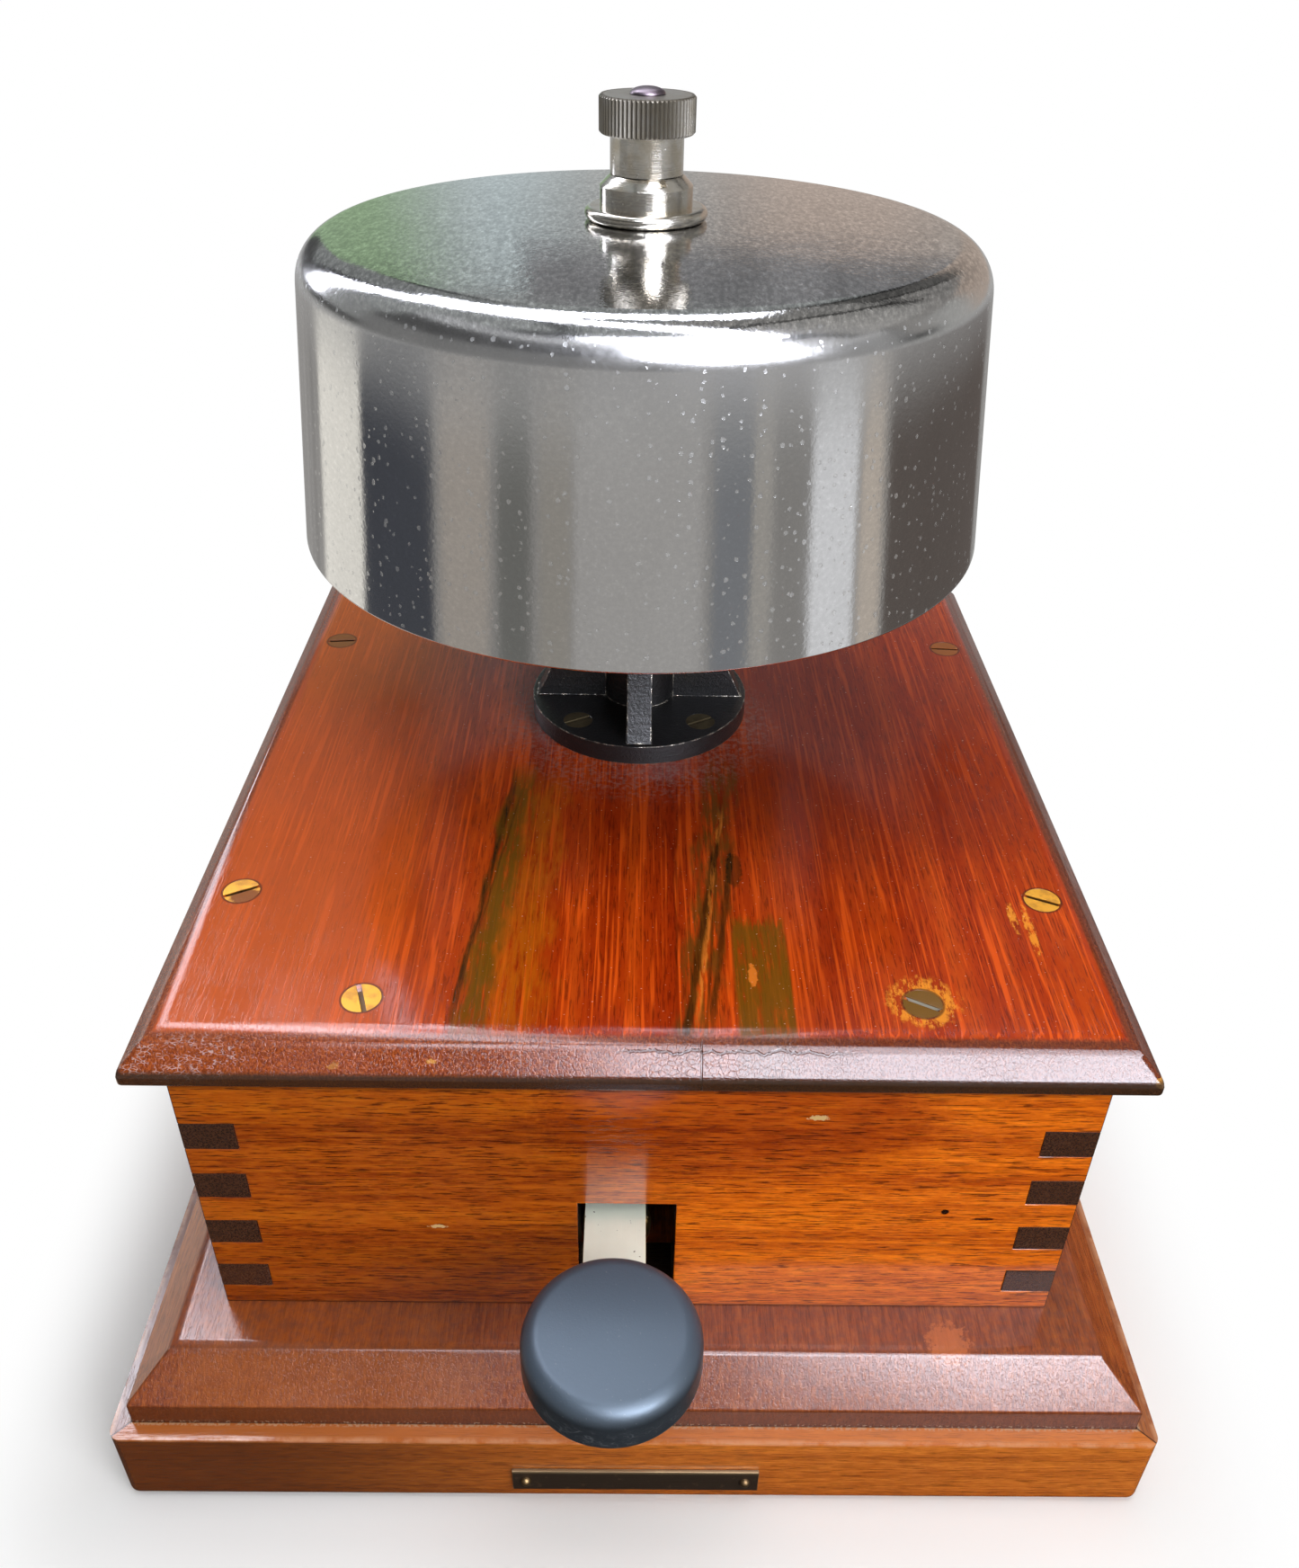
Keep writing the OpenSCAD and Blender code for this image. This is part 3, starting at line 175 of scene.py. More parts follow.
def mahogany(place, along, tones, pore_share, thread_share, fleck_share=0.45):
    """Mahogany grained along one axis: its colour with dark pores and pale threads, and its relief."""

    def drawn(part, factor):
        grain = [1.0, 1.0, 1.0]
        grain[along] = factor
        return stretched(part, grain)

    drift = noise(drawn(place, 0.02), 0.03, 1.0, output=1)
    drift = drift.node("ShaderNodeVectorMath", {0: drift, "Scale": 9.0}, operation="SCALE")
    bent = place.vector("ADD", place, drift)
    broad = noise(drawn(bent, 0.02), 0.08, 4.0, 0.65)
    fleck = noise(drawn(place, 0.16), 1.2, 4.0, 0.7)
    colour = ramp(broad * (1 - fleck_share) + fleck * fleck_share, tones)
    deep = [channel * 0.2 for channel in tones[0][1]]
    pale = [channel * 1.5 for channel in tones[-1][1]]
    dashes = noise(drawn(bent, 0.06), 3.0, 3.0, 0.6)
    pores = step(dashes, 0.53, 0.61)
    colour = mix(pores * pore_share, colour, deep)
    ripple = noise(drawn(bent, 0.014), 0.7, 1.0, 0.5)
    unbroken = step(noise(drawn(place, 0.05), 0.9, 2.0), 0.40, 0.58)
    threads = step(abs(ripple - 0.5), 0.07, 0.02) * unbroken
    colour = mix(threads * thread_share, colour, pale)
    return colour, threads * 0.2 - pores * 0.6


def varnish(place, colour, relief, gloss=0.12, depth=0.015):
    """Closes a material as wood under glossy varnish that has sunk a little into the grain."""
    skin = noise(place, 0.6, 3.0, 0.6)
    rub = noise(place, 0.06, 4.0, 0.6)
    rough = step(rub, 0.35, 0.75) * 0.08 + gloss
    close_finish(place, relief + skin * 0.6, depth, Base_Color=colour, Roughness=rough, IOR=1.5)


def node_shape(node):
    """A bmesh of a CAD node, with its triangles merged back into flat faces."""
    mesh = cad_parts[node].data.copy()
    mesh.attributes.remove(mesh.attributes["custom_normal"])
    shape = bmesh.new()
    shape.from_mesh(mesh)
    bpy.data.meshes.remove(mesh)
    bmesh.ops.remove_doubles(shape, verts=shape.verts, dist=0.001 * MM)
    bmesh.ops.dissolve_limit(shape, angle_limit=math.radians(0.3), verts=shape.verts, edges=shape.edges)
    return shape


def sharp_edges(shape, least, corner=25):
    """The edges that turn by more than corner degrees and are longer than least millimetres."""
    return [edge for edge in shape.edges
            if edge.calc_face_angle(0) > math.radians(corner) and edge.calc_length() > least * MM]


def top_edges(shape, height):
    """The long sharp edges round a board's top, which is at a height in metres."""
    return [edge for edge in sharp_edges(shape, 20)
            if all(vert.co.z > height - NEAR for vert in edge.verts)]


def ease(shape, edges, width, segments=3):
    """Rounds edges to a width in millimetres, and marks the rounded faces as worn."""
    worn = shape.faces.layers.float.get("worn") or shape.faces.layers.float.new("worn")
    made = bmesh.ops.bevel(shape, geom=edges, offset=width * MM, offset_type="OFFSET", segments=segments,
                           profile=0.5, affect="EDGES", clamp_overlap=True, material=-1)
    for face in made["faces"]:
        face[worn] = 1.0


def finish_piece(shape, material, node, body, corner=40):
    """Turns a bmesh into a piece that stands for a CAD node; with a body named, it rides on that."""
    bmesh.ops.triangulate(shape, faces=[face for face in shape.faces if len(face.verts) > 4])
    mesh = bpy.data.meshes.new("finished_" + node)
    shape.to_mesh(mesh)
    shape.free()
    mesh.shade_smooth()
    mesh.set_sharp_from_angle(angle=math.radians(corner))
    mesh.materials.append(material)
    piece = bpy.data.objects.new("finished_" + node, mesh)
    bpy.context.scene.collection.objects.link(piece)
    piece.modifiers.new("level_faces", "WEIGHTED_NORMAL").keep_sharp = True
    if body:
        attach(piece, body)
    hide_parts(node)
    return piece


base_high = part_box("baseboard")[1]
rail_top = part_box("front_rail")[1].z / MM
base_tones = [(0.36, (0.190, 0.034, 0.007)), (0.50, (0.300, 0.062, 0.012)), (0.64, (0.420, 0.105, 0.019))]
base_ends = [(0.37, (0.085, 0.016, 0.004)), (0.50, (0.200, 0.040, 0.008)), (0.63, (0.380, 0.100, 0.018))]
base_step = 5.9
base_bevel = 9
base_wood, place = new_finish("base_mahogany")
colour, relief = mahogany(place, 1, base_tones, 0.4, 0.2, 0.6)
step_top = rail_top + base_step
bevel_at = base_high.y / MM - base_bevel
end_grain = step(abs(axis(place, 1)), bevel_at - 0.6, bevel_at + 0.6)
fibres = noise(stretched(place, (1.6, 0.3, 0.3)), 1.7, 4.0, 0.7)
colour = mix(end_grain * 0.65, colour, ramp(fibres, base_ends))
# Painted light: a warm, paler glow over the front left of the bevel.
warm = spot(place, (-66.0, -110.0, 34.0), (34.0, 30.0, 12.0), 0.8)
colour = mix(warm * 0.25, colour, (0.460, 0.130, 0.014))
hazy = step(axis(place, 2), step_top + 7.0, step_top + 8.6)
hazy = hazy * step(noise(place, 0.5, 4.0, 0.7), 0.25, 0.75)
colour = mix(hazy * 0.5, colour, (0.110, 0.045, 0.035))
chip = spot(place, (68.0, -104.0, 37.5), (4.4, 4.4, 4.0), 2.2)
colour = mix(chip * 0.65, colour, (0.55, 0.15, 0.035))
# Painted shade darkens the upright step under the bevel.
upright = step(axis(place, 2), step_top + 0.2, step_top - 0.4)
colour = mix(upright * 0.75, colour, (0.070, 0.018, 0.007))
settled = step(axis(place, 2), rail_top + 1.2, rail_top + 0.2) * step(noise(place, 1.4, 3.0), 0.54, 0.64)
colour = mix(settled * 0.7, colour, (0.46, 0.32, 0.20))
relief = relief + end_grain * fibres * 0.8 - chip * 0.6
varnish(place, colour, relief, 0.14, 0.02)

shape = node_shape("baseboard")
ease(shape, top_edges(shape, base_high.z), 1.5, 5)
ease(shape, sharp_edges(shape, 10), 0.45)
finish_piece(shape, base_wood, "baseboard", "case")

# Base screws: round-head steel screws that come up through counterbores and hold the case.
# Their steel is dull, clouded by age over fine tool marks.


def machined(name, tone, aged, grain, rough, depth=0.02):
    """Bare metal with tool marks drawn out along the grain factors, clouded by age."""
    material, place = new_finish(name)
    cloud = noise(place, 0.14, 4.0, 0.6)
    marks = noise(stretched(place, grain), 3.2, 3.0, 0.65)
    specks = step(noise(place, 1.3, 3.0, 0.6), 0.66, 0.74)
    colour = mix(step(cloud + specks * 0.3, 0.36, 0.74), tone, aged)
    dull = cloud * 0.18 + rough + specks * 0.1
    close_finish(place, marks - specks * 0.4, depth, Base_Color=colour, Roughness=dull, Metallic=1.0)
    return material


def eased(node, material, body, width, least, segments=2):
    """A CAD node's own shape with its arrises taken off."""
    shape = node_shape(node)
    ease(shape, sharp_edges(shape, least), width, segments)
    return finish_piece(shape, material, node, body)


steel = machined("dull_steel", (0.46, 0.45, 0.45), (0.25, 0.23, 0.22), (1.0, 1.0, 0.15), 0.28)
eased("base_screws", steel, "case", 0.12, 3)

# Foot rails: four thin mahogany strips, mitred at the corners and glued round the baseboard.
# The grain runs along each strip; corners are rounded, outer edges worn and painted with a pale highlight,
# and the tops painted as lit: the cross rails' tops paler, the side rails' darker.
rail_tones = [(0.38, (0.300, 0.066, 0.008)), (0.50, (0.460, 0.118, 0.012)), (0.62, (0.620, 0.180, 0.018))]
rail_round = 2.6


def rail_finish(name, along, out):
    """Varnished strip whose outer top edge is worn and painted pale as a highlight; out is the axis it
    faces along.
    """
    material, place = new_finish(name)
    colour, relief = mahogany(place, along, rail_tones, 0.5, 0.15)
    # Painted shade darkens the front left corner.
    shade = step(axis(place, 0), 20, -90) * step(axis(place, 1), 60, -80)
    colour = mix(shade * 0.88, colour, (0.080, 0.019, 0.005))
    # The top faces are painted as lit: paler on the cross rails, darker on the side rails.
    high = step(axis(place, 2), rail_top - 1.0, rail_top - 0.2)
    colour = mix(high * 0.55, colour, (0.660, 0.190, 0.040) if out == 1 else (0.240, 0.095, 0.050))
    inner = base_high[out] / MM
    far = abs(axis(place, out))
    edge = step(far, inner + 2.6, inner + 3.7) * high
    # The worn outer top edge is also painted pale as its highlight.
    worn = edge * step(noise(place, 0.16, 4.0, 0.65), 0.36, 0.60)
    colour = mix(worn * 0.5, colour, (0.720, 0.380, 0.200))
    grit = step(noise(place, 1.4, 3.0), 0.42, 0.58)
    dust = step(far + noise(place, 0.5, 3.0), inner + 1.5, inner + 0.9) * high * grit
    colour = mix(dust * 0.6, colour, (0.52, 0.34, 0.20))
    crevice = step(far, inner + 0.30, inner + 0.05) * high
    reach = abs(axis(place, along)) - base_high[1 - out] / MM
    mitre = step(abs(reach - far + inner), 0.35, 0.1) * high
    gap = crevice.math("MAXIMUM", crevice, mitre)
    colour = mix(gap * 0.85, colour, (0.014, 0.006, 0.004))
    varnish(place, colour, relief + dust - gap, 0.13, 0.02)
    return material


def arc(centre, radius, start, end, count):
    """Points of an arc in a plane, from one angle to another."""
    turns = [math.radians(start + (end - start) * part / count) for part in range(count + 1)]
    return [(centre[0] + radius * math.cos(turn), centre[1] + radius * math.sin(turn)) for turn in turns]


def rail(node, material, out):
    """A rail in its CAD node's box, with mitred ends that meet on a rounded corner, and eased arrises."""
    low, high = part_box(node)
    along = 1 - out
    length = (high[along] - low[along]) / MM
    thick = (high[out] - low[out]) / MM
    middle = (low[out] + high[out]) / 2
    away = math.copysign(MM, middle)
    corner = arc((length / 2 - rail_round, thick / 2 - rail_round), rail_round, 45, 90, 8)
    plan = [(thick - length / 2, -thick / 2), (length / 2 - thick, -thick / 2)] + corner
    plan = plan + [(-run, off) for run, off in reversed(corner)]
    shape = bmesh.new()
    foot = []
    for run, off in plan:
        vert = shape.verts.new((0, 0, low.z))
        vert.co[along] = run * MM
        vert.co[out] = middle + off * away
        foot.append(vert)
    made = bmesh.ops.extrude_face_region(shape, geom=[shape.faces.new(foot)], use_keep_orig=True)
    top = [part for part in made["geom"] if isinstance(part, bmesh.types.BMVert)]
    bmesh.ops.translate(shape, vec=(0, 0, high.z - low.z), verts=top)
    bmesh.ops.recalc_face_normals(shape, faces=shape.faces)
    under = [edge for edge in sharp_edges(shape, 0.1)
             if all(vert.co.z < low.z + NEAR and (vert.co[out] - middle) * away > 0 for vert in edge.verts)]
    ease(shape, under, rail_round, 6)
    ease(shape, sharp_edges(shape, 0.1, 30), 0.45, 3)
    finish_piece(shape, material, node, "case")


cross_rail = rail_finish("cross_rail_mahogany", 0, 1)
side_rail = rail_finish("side_rail_mahogany", 1, 0)
for node, wood, out in (("front_rail", cross_rail, 1), ("rear_rail", cross_rail, 1),
                        ("left_rail", side_rail, 0), ("right_rail", side_rail, 0)):
    rail(node, wood, out)

# Name plate: a thin plate of darkened brass, left plain, with its upper edge rubbed bright.
# Two small round-head brass pins hold it to the front rail.


def worn_faces(place):
    """1 on the faces that ease has marked as worn."""
    return place.node("ShaderNodeAttribute", output="Fac", attribute_name="worn")


plate_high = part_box("name_plate")[1].z / MM
plate_brass, place = new_finish("darkened_brass")
worn = worn_faces(place)
rubbed = step(axis(place, 2), plate_high - 1.0, plate_high - 0.2)
tarnish = noise(place, 0.35, 4.0, 0.65)
scores = noise(stretched(place, (0.06, 1.0, 1.0)), 2.4, 3.0, 0.6)
bare = worn * 0.12 + rubbed * 0.5 + step(tarnish, 0.58, 0.72) * 0.12
colour = mix(bare, (0.045, 0.026, 0.013), (0.480, 0.330, 0.170))
rough = 0.45 - bare * 0.2 + tarnish * 0.1
close_finish(place, scores, 0.03, Base_Color=colour, Roughness=rough, Metallic=0.6)
eased("name_plate", plate_brass, "case", 0.2, 0.5)
pin_brass = machined("pin_brass", (0.20, 0.13, 0.06), (0.09, 0.055, 0.028), (1.0, 1.0, 1.0), 0.34)
eased("name_plate_pins", pin_brass, "case", 0.05, 9)

# Case front and rear: straight-grained mahogany boards, comb-jointed to the sides and varnished.
# The front has the slot for the tapper; end grain shows dark on the pins at the corners.
case_tones = [(0.38, (0.380, 0.055, 0.001)), (0.50, (0.680, 0.138, 0.003)), (0.62, (0.880, 0.235, 0.007))]
end_tone = (0.030, 0.011, 0.006)
case_low, case_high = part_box("case_front")
front_face = case_low.y / MM
case_foot = case_low.z / MM
case_top = case_high.z / MM
slot_x, slot_z = -2.6, 58.8
slot_half_w, slot_half_h = 10.7, 15.0
slot_deep = 20
# How far down the painted shade under the lid's overhang reaches, in millimetres.
lid_shade = 8.0


def board_finish(name, along, tones, limit, shade_and_marks=(), chips=()):
    """A case board: its grain along an axis, and end grain from limit millimetres out on that axis."""
    material, place = new_finish(name)
    colour, relief = mahogany(place, along, tones, 0.8, 0.2, 0.4)
    # Painted shade: a dark strip under the lid's overhang, and a painted shadow line along the seam at the
    # foot.
    shaded = step(axis(place, 2), case_top - lid_shade, case_top - lid_shade + 2.4)
    seam_and_shadow = step(axis(place, 2), case_foot + 0.9, case_foot + 0.3)
    colour = mix(shaded * 0.75 + seam_and_shadow * 0.8, colour, (0.050, 0.012, 0.003))
    # Each spot multiplies the colour darker: some are painted shade and reflection, some are dark marks.
    for centre, size, tone in shade_and_marks:
        ragged = 0.9 if size[0] < 9 else 0.2
        colour = mix(spot(place, centre, size, ragged), colour, tone, "MULTIPLY")
    for centre, size in chips:
        colour = mix(spot(place, centre, size, 2.0), colour, (0.62, 0.40, 0.16))
    if chips:
        # Painted shade darkens the slot's inner walls.
        slot_shade = step(abs(axis(place, 0) - slot_x), slot_half_w + 0.2, slot_half_w - 0.2)
        slot_shade = slot_shade * step(abs(axis(place, 2) - slot_z), slot_half_h + 0.2, slot_half_h - 0.2)
        slot_shade = slot_shade * step(axis(place, 1), front_face + 0.1, front_face + 0.5)
        slot_shade = slot_shade * step(axis(place, 1), front_face + slot_deep + 10, front_face + slot_deep)
        colour = mix(slot_shade, colour, (0.010, 0.005, 0.003))
    ends = step(abs(axis(place, along)), limit - 0.35, limit - 0.2)
    dots = noise(place, 2.4, 3.0, 0.7)
    colour = mix(ends, colour, mix(step(dots, 0.35, 0.7), end_tone, (0.075, 0.030, 0.014)))
    varnish(place, colour, relief + ends * dots, 0.11, 0.015)
    return material


# Spots on the front: a painted dark reflection of the knob over the upper middle, painted shade over the
# left part and, bluer, over its lower left, then two small dark marks at the right.
front_shade_and_marks = [((18.0, front_face, 99.0), (42.0, 20.0, 16.0), (0.62, 0.48, 0.45)),
             ((-70.0, front_face, 66.0), (70.0, 20.0, 60.0), (0.60, 0.57, 0.50)),
             ((-62.0, front_face, 42.0), (52.0, 20.0, 18.0), (0.74, 0.68, 0.80)),
             ((64.0, front_face, 71.8), (0.9, 4.0, 0.8), (0.03, 0.03, 0.03)),
             ((72.5, front_face, 69.6), (2.2, 4.0, 0.5), (0.20, 0.16, 0.14))]
front_chips = [((-42.5, front_face, 65.6), (2.0, 1.5, 0.5)), ((35.0, front_face, 100.6), (2.2, 1.5, 0.7))]
end_board = board_finish("case_mahogany", 0, case_tones, case_high.x / MM, front_shade_and_marks, front_chips)
for node in ("case_front", "case_rear"):
    eased(node, end_board, "case", 0.3, 5)

# Case sides: mahogany boards whose fingers run through the front and rear boards.
# The grain runs front to back, so the finger ends are dark end grain.
side_tones = [(0.36, (0.170, 0.032, 0.005)), (0.50, (0.300, 0.064, 0.008)), (0.64, (0.430, 0.110, 0.014))]
side_board = board_finish("side_mahogany", 1, side_tones, -front_face)
for node in ("left_side", "right_side"):
    eased(node, side_board, "case", 0.3, 5)

# Key works: an ebonite base with brass contacts, pivot bracket and down-stop, on the baseboard.
# A steel spring round the stop lifts the tapper, and squeezes as the tapper goes down.
craze_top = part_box("tapper_knob")[1].z / MM - 4.0


def net(place, factors, scale):
    """The distance to the nearest line of a net of cells, for fine cracks."""
    sockets = {"Vector": stretched(place, factors), "Scale": scale}
    return place.node("ShaderNodeTexVoronoi", sockets, feature="DISTANCE_TO_EDGE")


def ebonite(name, rough, tone):
    """Satin black hard rubber, grained and dusty; the knob's top is painted lighter and bluer as a sheen of
    sky, and below it is crazed.
    """
    material, place = new_finish(name)
    grit = noise(place, 2.2, 3.0, 0.6)
    dust = step(noise(place, 1.5, 2.0, 0.5), 0.69, 0.75)
    hairs = step(net(place, (0.6, 0.6, 1.4), 0.8), 0.07, 0.02)
    hairs = hairs * step(axis(place, 2), craze_top, craze_top - 1.5)
    hairs = hairs * step(noise(place, 0.5, 2.0), 0.42, 0.60)
    # The knob's top is painted lighter and bluer as a sheen of sky.
    painted_sheen = mix(step(axis(place, 2), craze_top, craze_top + 3.0), tone, (0.044, 0.060, 0.084))
    colour = mix(dust * 0.35 + hairs * 0.35, painted_sheen, (0.16, 0.17, 0.18))
    close_finish(place, grit, 0.02, Base_Color=colour, Roughness=grit * 0.12 + rough, IOR=1.65,
                 Specular_Tint=(0.72, 0.87, 1.0, 1))
    return material


def dress(material, *nodes):
    """Gives CAD nodes that keep their own shape a new finish."""
    for node in nodes:
        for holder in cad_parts[node].material_slots:
            holder.material = material


def swing(shape, verts, degrees, about, centre=(0, 0, 0)):
    """Turns vertices by an angle about X, Y or Z through a centre."""
    matrix = Matrix.Rotation(math.radians(degrees), 3, about)
    bmesh.ops.rotate(shape, cent=centre, matrix=matrix, verts=verts)


def wound(node, material, turns, wire):
    """A coil spring in its CAD node's box, from round wire."""
    low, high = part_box(node)
    middle = (low + high) / 2
    radius = (high.x - low.x) / 2 - wire * MM
    rise = high.z - low.z - 2 * wire * MM
    steps = 28 * turns
    shape = bmesh.new()
    bmesh.ops.create_circle(shape, segments=12, radius=wire * MM)
    lean = math.degrees(math.atan2(rise, math.tau * radius * turns))
    swing(shape, shape.verts, 90 + lean, "X")
    bmesh.ops.translate(shape, vec=(middle.x + radius, middle.y, low.z + wire * MM), verts=shape.verts)
    bmesh.ops.spin(shape, geom=shape.verts[:] + shape.edges[:], cent=middle, axis=(0, 0, 1),
                   dvec=(0, 0, rise / steps), angle=math.tau * turns, steps=steps)
    bmesh.ops.holes_fill(shape, edges=[edge for edge in shape.edges if edge.is_boundary])
    bmesh.ops.recalc_face_normals(shape, faces=shape.faces)
    piece = finish_piece(shape, material, node, None)
    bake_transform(piece)


brass = machined("machined_brass", (0.62, 0.42, 0.16), (0.36, 0.22, 0.08), (1.0, 0.3, 1.0), 0.24)
key_ebonite = ebonite("key_ebonite", 0.36, (0.0075, 0.0080, 0.0090))
eased("key_base", key_ebonite, "case", 0.4, 3)
eased("tapper_bracket", brass, "case", 0.25, 1)
dress(brass, "front_contact", "back_contact", "down_stop_post", "bracket_screws")
dress(steel, "tapper_pin")
wound("tapper_spring", steel, 6, 0.7)

# Electromagnet: two bobbins of silk-covered copper wire on soft-iron cores, riveted to a black yoke.
# It lies in the case behind the key and pulls the armature.
soft_iron = machined("soft_iron", (0.24, 0.23, 0.22), (0.12, 0.10, 0.09), (1.0, 0.2, 1.0), 0.4)
wire_silk, place = new_finish("silk_covered_wire")
turns = place.node("ShaderNodeTexWave", {"Vector": place, "Scale": 1.6, "Distortion": 0.4}, output="Fac",
                   bands_direction="Y")
fuzz = noise(place, 3.0, 3.0, 0.6)
silk = mix(fuzz, (0.26, 0.075, 0.028), (0.40, 0.14, 0.05))
# The dark lines between the turns are painted shade in the grooves.
colour = mix(step(turns, 0.1, 0.6), (0.045, 0.012, 0.005), silk)
close_finish(place, turns + fuzz * 0.2, 0.2, Base_Color=colour, Roughness=fuzz * 0.2 + 0.45)
dress(wire_silk, "left_winding", "right_winding")
dress(key_ebonite, "left_bobbin", "right_bobbin")
dress(soft_iron, "left_core", "right_core")

black_iron, place = new_finish("painted_casting")
worn = worn_faces(place)
bare = worn * step(noise(place, 0.5, 4.0, 0.7), 0.46, 0.6)
grit = noise(place, 1.4, 4.0, 0.7)
ridges = noise(stretched(place, (0.15, 0.15, 1.0)), 0.8, 3.0, 0.6)
chips = step(noise(place, 0.9, 3.0, 0.6), 0.70, 0.76)
colour = mix(bare + chips * 0.5, (0.0085, 0.0085, 0.0095), (0.40, 0.37, 0.32))
close_finish(place, grit + ridges * 0.8, 0.16, Base_Color=colour, Roughness=0.42 - bare * 0.1 - grit * 0.2,
             Metallic=bare * 0.8)
eased("yoke", black_iron, "case", 0.4, 3)

# Hammer: a brass ball on a steel rod, carried by the iron armature on its pivot pin.
# The rod goes up through the lid's slot to the dome; a spring draws the armature back to its stop.
dress(brass, "hammer_head", "armature_bracket", "spring_post", "backstop_bracket", "backstop_screw",
      "backstop_nut")
dress(steel, "hammer_rod", "armature_pin")
eased("armature", soft_iron, "hammer", 0.3, 3)
wound("armature_spring", steel, 12, 0.4)

# Terminals: brass studs and nuts on an ebonite board, and an ebonite bush where the line wires come in.
# Four silk-covered leads run along the baseboard from the key and the coils.
eased("terminal_board", key_ebonite, "case", 0.4, 3)
dress(brass, "terminal_studs", "terminal_nuts", "terminal_board_screws")
eased("wire_bush", key_ebonite, "case", 0.5, 0.25, 3)
dress(wire_silk, "leads")

# Lid: a mahogany board with a broad bevel, screwed down on the case, with old cracks and worn varnish.
# Its top arris is well rounded; the grain runs front to back and opens as end grain on the front bevel.
lid_low, lid_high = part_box("lid")
lid_top = lid_high.z / MM
lid_front = -lid_low.y / MM
lid_tones = [(0.36, (0.270, 0.018, 0.001)), (0.50, (0.390, 0.034, 0.002)), (0.64, (0.520, 0.066, 0.004))]
lid_ends = [(0.36, (0.070, 0.012, 0.003)), (0.50, (0.190, 0.036, 0.006)), (0.64, (0.380, 0.095, 0.016))]
lid_bevel = 5.7
lid_edge = 4.7
screw_r = 3.95
golden = (0.520, 0.130, 0.003)
olive = (0.120, 0.066, 0.004)
bare_wood = (0.820, 0.290, 0.020)
lid_screw_turns = {(-84.8, -55.0): 28, (84.8, -55.0): -25, (-53.9, -86.5): -72, (53.9, -86.5): -28,
                   (-84.8, 55.0): 6, (84.8, 55.0): -4, (-53.9, 86.5): 75, (53.9, 86.5): 40}
rubbed_screw = (53.9, -86.5, lid_top)


def streak(place, start, end, half, soft):
    """1 along a wandering line on the lid from one place to another, fading over its half width."""
    slope = (end[0] - start[0]) / (end[1] - start[1])
    wander = (noise(stretched(place, (1.0, 0.25, 0.0)), 0.35, 3.0) - 0.5) * half * 1.6
    off = abs(axis(place, 0) - axis(place, 1) * slope - (start[0] - start[1] * slope) + wander)
    run = step(axis(place, 1), end[1] - soft, end[1] + soft)
    run = run * step(axis(place, 1), start[1] + soft, start[1] - soft)
    return step(off, half, half * 0.3) * run


lid_wood, place = new_finish("lid_mahogany")
colour, relief = mahogany(place, 1, lid_tones, 0.5, 0.75, 0.2)
blush = noise(stretched(place, (1.0, 0.5, 1.0)), 0.02, 3.0)
colour = mix(step(blush, 0.42, 0.66) * 0.3, colour, (0.180, 0.016, 0.002))
shadow = spot(place, (55.0, 30.0, lid_top), (60.0, 75.0, 9.0), 0.3)
colour = mix(shadow * 0.4, colour, (0.150, 0.012, 0.002))
# Painted light: the lid's left part is painted paler and more orange, as lit.
painted_left_glow = step(axis(place, 0), -25, -75)
colour = mix(painted_left_glow * 0.5, colour, (0.740, 0.140, 0.014))
fret = noise(stretched(place, (1.0, 0.12, 1.0)), 0.9, 4.0, 0.7)
gilt = streak(place, (-24.0, -14), (-25.0, -96), 8.0, 10)
colour = mix(gilt * step(fret, 0.25, 0.60) * 0.6, colour, golden)
stain = streak(place, (-28.0, -10), (-33.0, -96), 4.6, 8)
colour = mix(stain * step(fret, 0.26, 0.52) * 0.85, colour, olive)
patch_x = step(axis(place, 0), 17.4, 18.6) * step(axis(place, 0), 29.4, 28.6)
patch = patch_x * step(axis(place, 1) + fret * 16.0, -53.5, -56.5)
colour = mix(patch * step(fret, 0.22, 0.52) * 0.8, colour, olive)
fleck = spot(place, (21.6, -79.0, lid_top), (0.9, 3.0, 4.0), 1.6)
bundle = streak(place, (18.8, -6), (9.6, -98), 5.6, 8)
colour = mix(bundle * step(fret, 0.36, 0.60) * 0.8, colour, (0.105, 0.048, 0.006))
glint = streak(place, (17.6, -26), (10.4, -90), 0.8, 5) * step(fret, 0.40, 0.52) + fleck
colour = mix(glint * 0.85, colour, (0.720, 0.190, 0.020))
knot = spot(place, (19.6, -46.0, lid_top), (1.8, 6.0, 4.0), 0.9)
dark = knot * 0.7
broken = step(fret, 0.66, 0.40) * 0.6 + 0.4
cracks = (((-30.6, -12), (-36.4, -92), 0.9, 1.0), ((-29.0, -20), (-34.0, -70), 0.4, 0.6),
          ((16.4, -36), (7.8, -98), 1.3, 1.0), ((19.8, -36), (13.2, -92), 1.0, 0.9),
          ((18.0, -20), (11.6, -98), 0.5, 0.7), ((7.6, -30), (6.2, -97), 0.3, 0.35))
for start, end, half, share in cracks:
    dark = dark + streak(place, start, end, half, 6) * broken * share
dark = dark.math("MINIMUM", dark, 1.0)
colour = mix(dark * 0.9, colour, (0.024, 0.015, 0.002))
rubs = (spot(place, (80.0, -64.5, lid_top), (1.0, 8.0, 6.0), 1.2)
        + spot(place, (77.2, -60.5, lid_top), (0.9, 5.0, 6.0), 1.2)
        + spot(place, (53.9, -86.0, lid_top), (6.8, 6.6, 6.0), 0.8))
rubs = rubs * step(noise(stretched(place, (1.0, 0.4, 1.0)), 0.9, 4.0, 0.7), 0.44, 0.56)
colour = mix(rubs * 0.85, colour, bare_wood)
specks = step(noise(place, 1.7, 1.0, 0.4), 0.745, 0.785)
colour = mix(specks * 0.6, colour, (0.70, 0.42, 0.28))
haze = spot(place, (-1.2, 14.0, lid_top), (33.0, 33.0, 4.0), 0.5)
